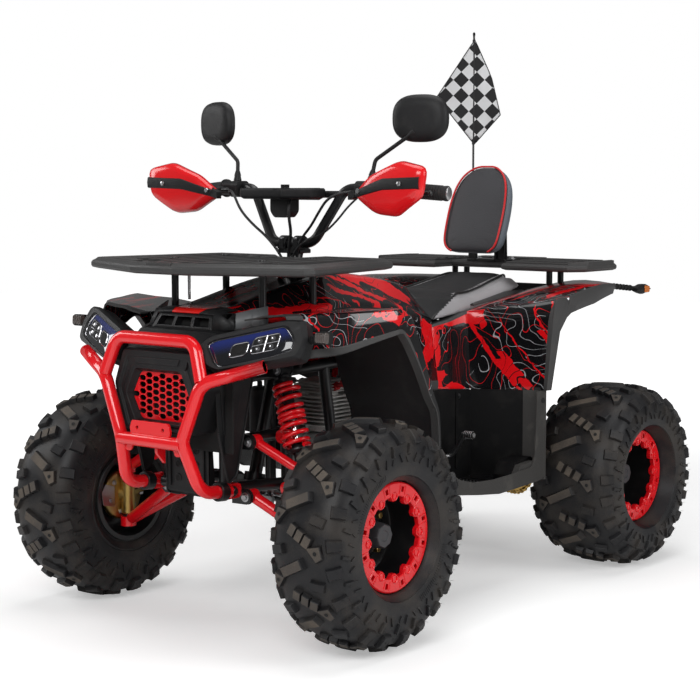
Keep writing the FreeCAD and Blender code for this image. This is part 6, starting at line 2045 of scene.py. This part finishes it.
work = bmesh.new()
holes = [round_hole(sprocket_middle.y, sprocket_middle.z, 16, 28)]
holes += [round_hole(*on_circle(sprocket_middle, 52, turn), 15.5, 20) for turn in turns(5)]
pierced(work, toothed(sprocket_middle, sprocket_radius, sprocket_teeth, 4), holes, "x", 63.2, 68.8)
spun(work, [(-12, 15.4), (-12, 26), (-3, 26), (-3, 34), (2, 34), (2, 15.4)], sprocket_middle, along_x, 36)
for turn in turns(5, 0.5):
    bolt(work, sprocket_middle + around(3, 30, turn), along_x, 5, 1)
piece("sprocket_wheel", work, [gold, zinc_grey], "rear_axle", ["sprocket"], "steel", bevel=0.4)
output_middle = at(66, 40, 318)
run = output_middle - sprocket_middle
spread = math.acos((sprocket_radius - output_radius) / run.length)
heading = math.atan2(run.z, run.y)


def chain_line():
    """Evenly spaced pins round both sprockets, as (y, z)."""
    path = []
    arcs = ((sprocket_middle, sprocket_radius, heading + spread, 2 * math.pi - 2 * spread, 90),
            (output_middle, output_radius, heading - spread, 2 * spread, 40))
    for centre, radius, first, turn, steps in arcs:
        path += [Vector(on_circle(centre, radius, first + turn * i / steps)) for i in range(steps + 1)]
    path.append(path[0])
    lengths = [(b - a).length for a, b in zip(path, path[1:])]
    count = round(sum(lengths) / chain_pitch / 2) * 2
    step = sum(lengths) / count
    pins = []
    gone = 0.0
    for a, b, length in zip(path, path[1:], lengths):
        while len(pins) < count and len(pins) * step <= gone + length:
            pins.append(a.lerp(b, (len(pins) * step - gone) / length))
        gone += length
    return pins


def link_plate(work, first, second, low, high, grow, paint):
    """A side plate with round ends and a waist."""
    way = (second - first).normalized()
    side = Vector((-way.y, way.x))
    outline = []
    for centre, start in ((first, 90), (second, -90)):
        for k in range(7):
            turn = math.radians(start + 30 * k)
            outline.append(centre + (way * math.cos(turn) + side * math.sin(turn)) * grow)
        outline.append((first + second) / 2 + side * (-0.62 * grow if start == 90 else 0.62 * grow))
    slab(work, [tuple(p) for p in outline], "x", low, high, paint)


work = bmesh.new()
pins = chain_line()
for i, (here, there) in enumerate(zip(pins, pins[1:] + pins[:1])):
    near = 3.6 if i % 2 else 5.4
    for side in (-1, 1):
        ends = sorted((66 + side * near, 66 + side * (near + 1.6)))
        link_plate(work, here, there, *ends, 5.2, 0)
    tube(work, [at(58.2, *here), at(73.8, *here)], 2.2, sides=8, paint=1)
    tube(work, [at(62.6, *here), at(69.4, *here)], 4.2, sides=10, paint=1)
slab(work, toothed(output_middle, output_radius - 2.5, output_teeth, 2.5), "x", 63.4, 68.6, paint=2)
piece("roller_chain", work, [gold, oily, bright_steel], "chassis", ["chain"], "chain_steel")

# Rear brake: a drilled disc on the axle and a two-piston caliper on a bracket from the axle carrier.
disc_middle = axle_line + at(-70, 0, 0)
work = bmesh.new()
holes = [round_hole(disc_middle.y, disc_middle.z, 16, 28)]
for i in range(12):
    for radius, lead in ((52, 0), (62, 0.35), (71, 0.7)):
        holes.append(round_hole(*on_circle(disc_middle, radius, 2 * math.pi * (i + lead) / 12), 3, 8))
pierced(work, round_hole(disc_middle.y, disc_middle.z, 79.5, 72), holes, "x", -71.8, -68.2)
spun(work, [(-3, 15.4), (-3, 40), (3, 40), (8, 24), (12, 24), (12, 15.4)], disc_middle, along_x, 36, 1)
for turn in turns(5):
    bolt(work, disc_middle + around(-3, 32, turn), -along_x, 5, 1)
piece("brake_disc_drilled", work, [bright_steel, zinc_grey], "rear_axle", ["brake_disc"], "steel")

# Flag: a slim glass-fibre pole in a rubber foot on the rear rack, with a black and white checkered pennant.
# The cloth was cut as one flat piece, hangs from the pole by a sewn sleeve and is blown a little by the air.


def checkered(name):
    """Woven cloth with black and white checks, set square to the cloth and turned by half a right angle."""
    tree, inputs, where = effect(name, {"Dark": (0.012, 0.012, 0.013, 1), "Light": (0.72, 0.73, 0.74, 1),
                                        "Size": 24.4, "Roughness": 0.8})
    turned = add(tree, "Mapping", {"Vector": where, "Rotation": (0, 0, math.radians(-39))}).outputs[0]
    flat = add(tree, "SeparateXYZ", {0: turned}).outputs
    first = maths(tree, "MULTIPLY", maths(tree, "ADD", flat["X"], flat["Z"]), inputs["Size"])
    second = maths(tree, "MULTIPLY", maths(tree, "SUBTRACT", flat["X"], flat["Z"]), inputs["Size"])
    cell = maths(tree, "ADD", maths(tree, "FLOOR", first), maths(tree, "FLOOR", second))
    odd = maths(tree, "GREATER_THAN", maths(tree, "ABSOLUTE", maths(tree, "MODULO", cell, 2.0)), 0.5)
    across = add(tree, "TexWave", {"Vector": turned, "Scale": 420.0}, bands_direction="X").outputs["Fac"]
    upward = add(tree, "TexWave", {"Vector": turned, "Scale": 420.0}, bands_direction="Z").outputs["Fac"]
    weave = maths(tree, "MULTIPLY", across, upward)
    colour = mixed(tree, odd, inputs["Dark"], inputs["Light"])
    worn = shaded(tree, colour, noise(tree, where, 22.0, 3.0), 0.86, 0.24)
    effect_gives(tree, {"Base Color": worn, "Roughness": inputs["Roughness"],
                        "Normal": raised(tree, weave, 0.4, 0.0004)})
    return tree


cloth_group = checkered("checkered cloth")
flag_cloth = finish("checkered cloth", cloth_group, {})
hem_cloth = finish("black hem", cloth_group, {"Dark": (0.02, 0.02, 0.021, 1),
                                              "Light": (0.02, 0.02, 0.021, 1)})
fibre = plain("glass fibre", (0.03, 0.03, 0.03), 0.35, 0.4)
pole_foot = at(-72, 500, 757)
flag_turn = math.radians(39)
flag_way = at(math.cos(flag_turn), math.sin(flag_turn), 0)
flag_out = at(math.sin(flag_turn), -math.cos(flag_turn), 0)
flag_top, flag_left, flag_foot = (2, 1334), (-97, 1185), (2, 1061)
flag_right, flag_upper_right = (70, 1138), (46, 1237)
work = bmesh.new()
tube(work, [pole_foot, at(-72, 500, 1352)], 2.8, sides=16)
spun(work, [(0, 11), (4, 11), (8, 7), (34, 5), (36, 3)], at(-72, 500, 757), along_z, 24, 1, closed=False)
spun(work, [(0, 2.6), (6, 3.6), (9, 3.2), (12, 0.1)], at(-72, 500, 1342), along_z, 16, 1, closed=False)
piece("flag_staff", work, [fibre, rubber_black], "chassis", ["flag_pole"], "black_steel")


def edge_height(first, second, u):
    """The height at u of the cloth's straight edge from the first corner to the second."""
    return first[1] + (second[1] - first[1]) * (u - first[0]) / (second[0] - first[0])


def flag_point(u, z):
    """The cloth bellies away from the pole towards its two outer corners."""
    belly = 2.2 * math.sin(z / 31 + u / 40) * min(1, abs(u) / 40)
    return pole_foot + flag_way * u + flag_out * (4.4 + belly) + at(0, 0, z - pole_foot.z)


work = bmesh.new()
columns = 22
rows = []
for i in range(columns + 1):
    u = flag_left[0] + (flag_right[0] - flag_left[0]) * i / columns
    if u <= flag_top[0]:
        high, low = edge_height(flag_left, flag_top, u), edge_height(flag_left, flag_foot, u)
    elif u < flag_upper_right[0]:
        high, low = edge_height(flag_top, flag_upper_right, u), edge_height(flag_foot, flag_right, u)
    else:
        high, low = edge_height(flag_upper_right, flag_right, u), edge_height(flag_foot, flag_right, u)
    high = max(high, low + 0.4)
    rows.append([flag_point(u, low + (high - low) * k / 24) for k in range(25)])
sheet_faces(work, rows)
flag = piece("checkered_flag", work, [flag_cloth], "chassis", ["flag"], "flag_cloth", smooth=80)
walled(flag, 0.8, 0.0)
settled(flag)
work = bmesh.new()
line = [row[0] for row in rows] + [row[-1] for row in reversed(rows)]
tube(work, [p + flag_out * 0.2 for p in line + line[:1]], 1.3, sides=8)
tube(work, [pole_foot + flag_out * 1.2 + at(0, 0, 304), pole_foot + flag_out * 1.2 + at(0, 0, 577)], 4.1,
     sides=16)
hem = piece("flag_hem", work, [hem_cloth], "chassis", slot="flag_cloth")

# Stage: a plain white floor and backdrop, a large soft lamp over the front and two beside, and the camera.


def lamp(name, place, aim, size, power):
    """A soft box in metres and watts."""
    light = bpy.data.lights.new(name, "AREA")
    light.energy = power
    light.shape = "RECTANGLE"
    light.size, light.size_y = size
    made = bpy.data.objects.new(name, light)
    bpy.context.scene.collection.objects.link(made)
    made.location = place
    made.rotation_euler = (Vector(aim) - Vector(place)).to_track_quat("-Z", "Y").to_euler()


lamp("front soft box", (1.6, -3.6, 2.6), (0, -0.2, 0.5), (2.6, 1.6), 84)
lamp("left soft box", (3.8, 0.6, 2.0), (0, 0, 0.5), (1.8, 2.4), 58)
lamp("right soft box", (-3.4, -1.6, 2.2), (0, 0, 0.5), (1.6, 2.2), 46)
lamp("top soft box", (0, 0.3, 4.0), (0, 0, 0), (3.0, 3.0), 66)

world = bpy.data.worlds.new("studio")
bpy.context.scene.world = world
world.use_nodes = True
tree = world.node_tree
for spare in list(tree.nodes):
    tree.nodes.remove(spare)
path = tree.nodes.new("ShaderNodeLightPath").outputs
seen = maths(tree, "MAXIMUM", path["Is Camera Ray"], path["Is Transmission Ray"])
glossy = maths(tree, "MULTIPLY", path["Is Glossy Ray"], 0.16)
strength = maths(tree, "MAXIMUM", maths(tree, "MAXIMUM", seen, glossy), 0.12)
sky = add(tree, "Background", {"Color": (1, 1, 1, 1), "Strength": strength})
tree.links.new(sky.outputs[0], tree.nodes.new("ShaderNodeOutputWorld").inputs[0])

floor_mesh = bpy.data.meshes.new("floor")
floor_mesh.from_pydata([(-9, -9, 0), (9, -9, 0), (9, 9, 0), (-9, 9, 0)], [], [(0, 1, 2, 3)])
floor = bpy.data.objects.new("floor", floor_mesh)
bpy.context.scene.collection.objects.link(floor)
floor_finish = bpy.data.materials.new("pale floor")
floor_finish.use_nodes = True
tree = floor_finish.node_tree
path = tree.nodes.new("ShaderNodeLightPath").outputs
seen = maths(tree, "MAXIMUM", path["Is Camera Ray"], path["Is Transmission Ray"])
distance = add(tree, "VectorMath", {0: tree.nodes.new("ShaderNodeTexCoord").outputs["Object"]},
               operation="LENGTH")
far = ramp(tree, distance.outputs["Value"], 1.4, 4.0)
glow = maths(tree, "MULTIPLY", maths(tree, "ADD", maths(tree, "MULTIPLY", far, 0.62), 0.38), seen)
shader = tree.nodes["Principled BSDF"]
shader.inputs["Base Color"].default_value = (0.86, 0.86, 0.86, 1)
shader.inputs["Roughness"].default_value = 0.7
shader.inputs["Emission Color"].default_value = (1, 1, 1, 1)
tree.links.new(glow, shader.inputs["Emission Strength"])
floor_mesh.materials.append(floor_finish)

camera = bpy.data.objects.new("camera", bpy.data.cameras.new("camera"))
bpy.context.scene.collection.objects.link(camera)
camera.location = (2.5994, -3.2932, 0.9698)
turn, rise = math.radians(39.18), math.radians(5.602)
back = Vector((math.sin(turn) * math.cos(rise), -math.cos(turn) * math.cos(rise), math.sin(rise)))
camera.rotation_euler = (-back).to_track_quat("-Z", "Y").to_euler()
camera.data.sensor_width = 36.0
camera.data.lens = 89.56
camera.data.clip_end = 60.0
bpy.context.scene.camera = camera
bpy.context.scene.view_settings.view_transform = "Standard"
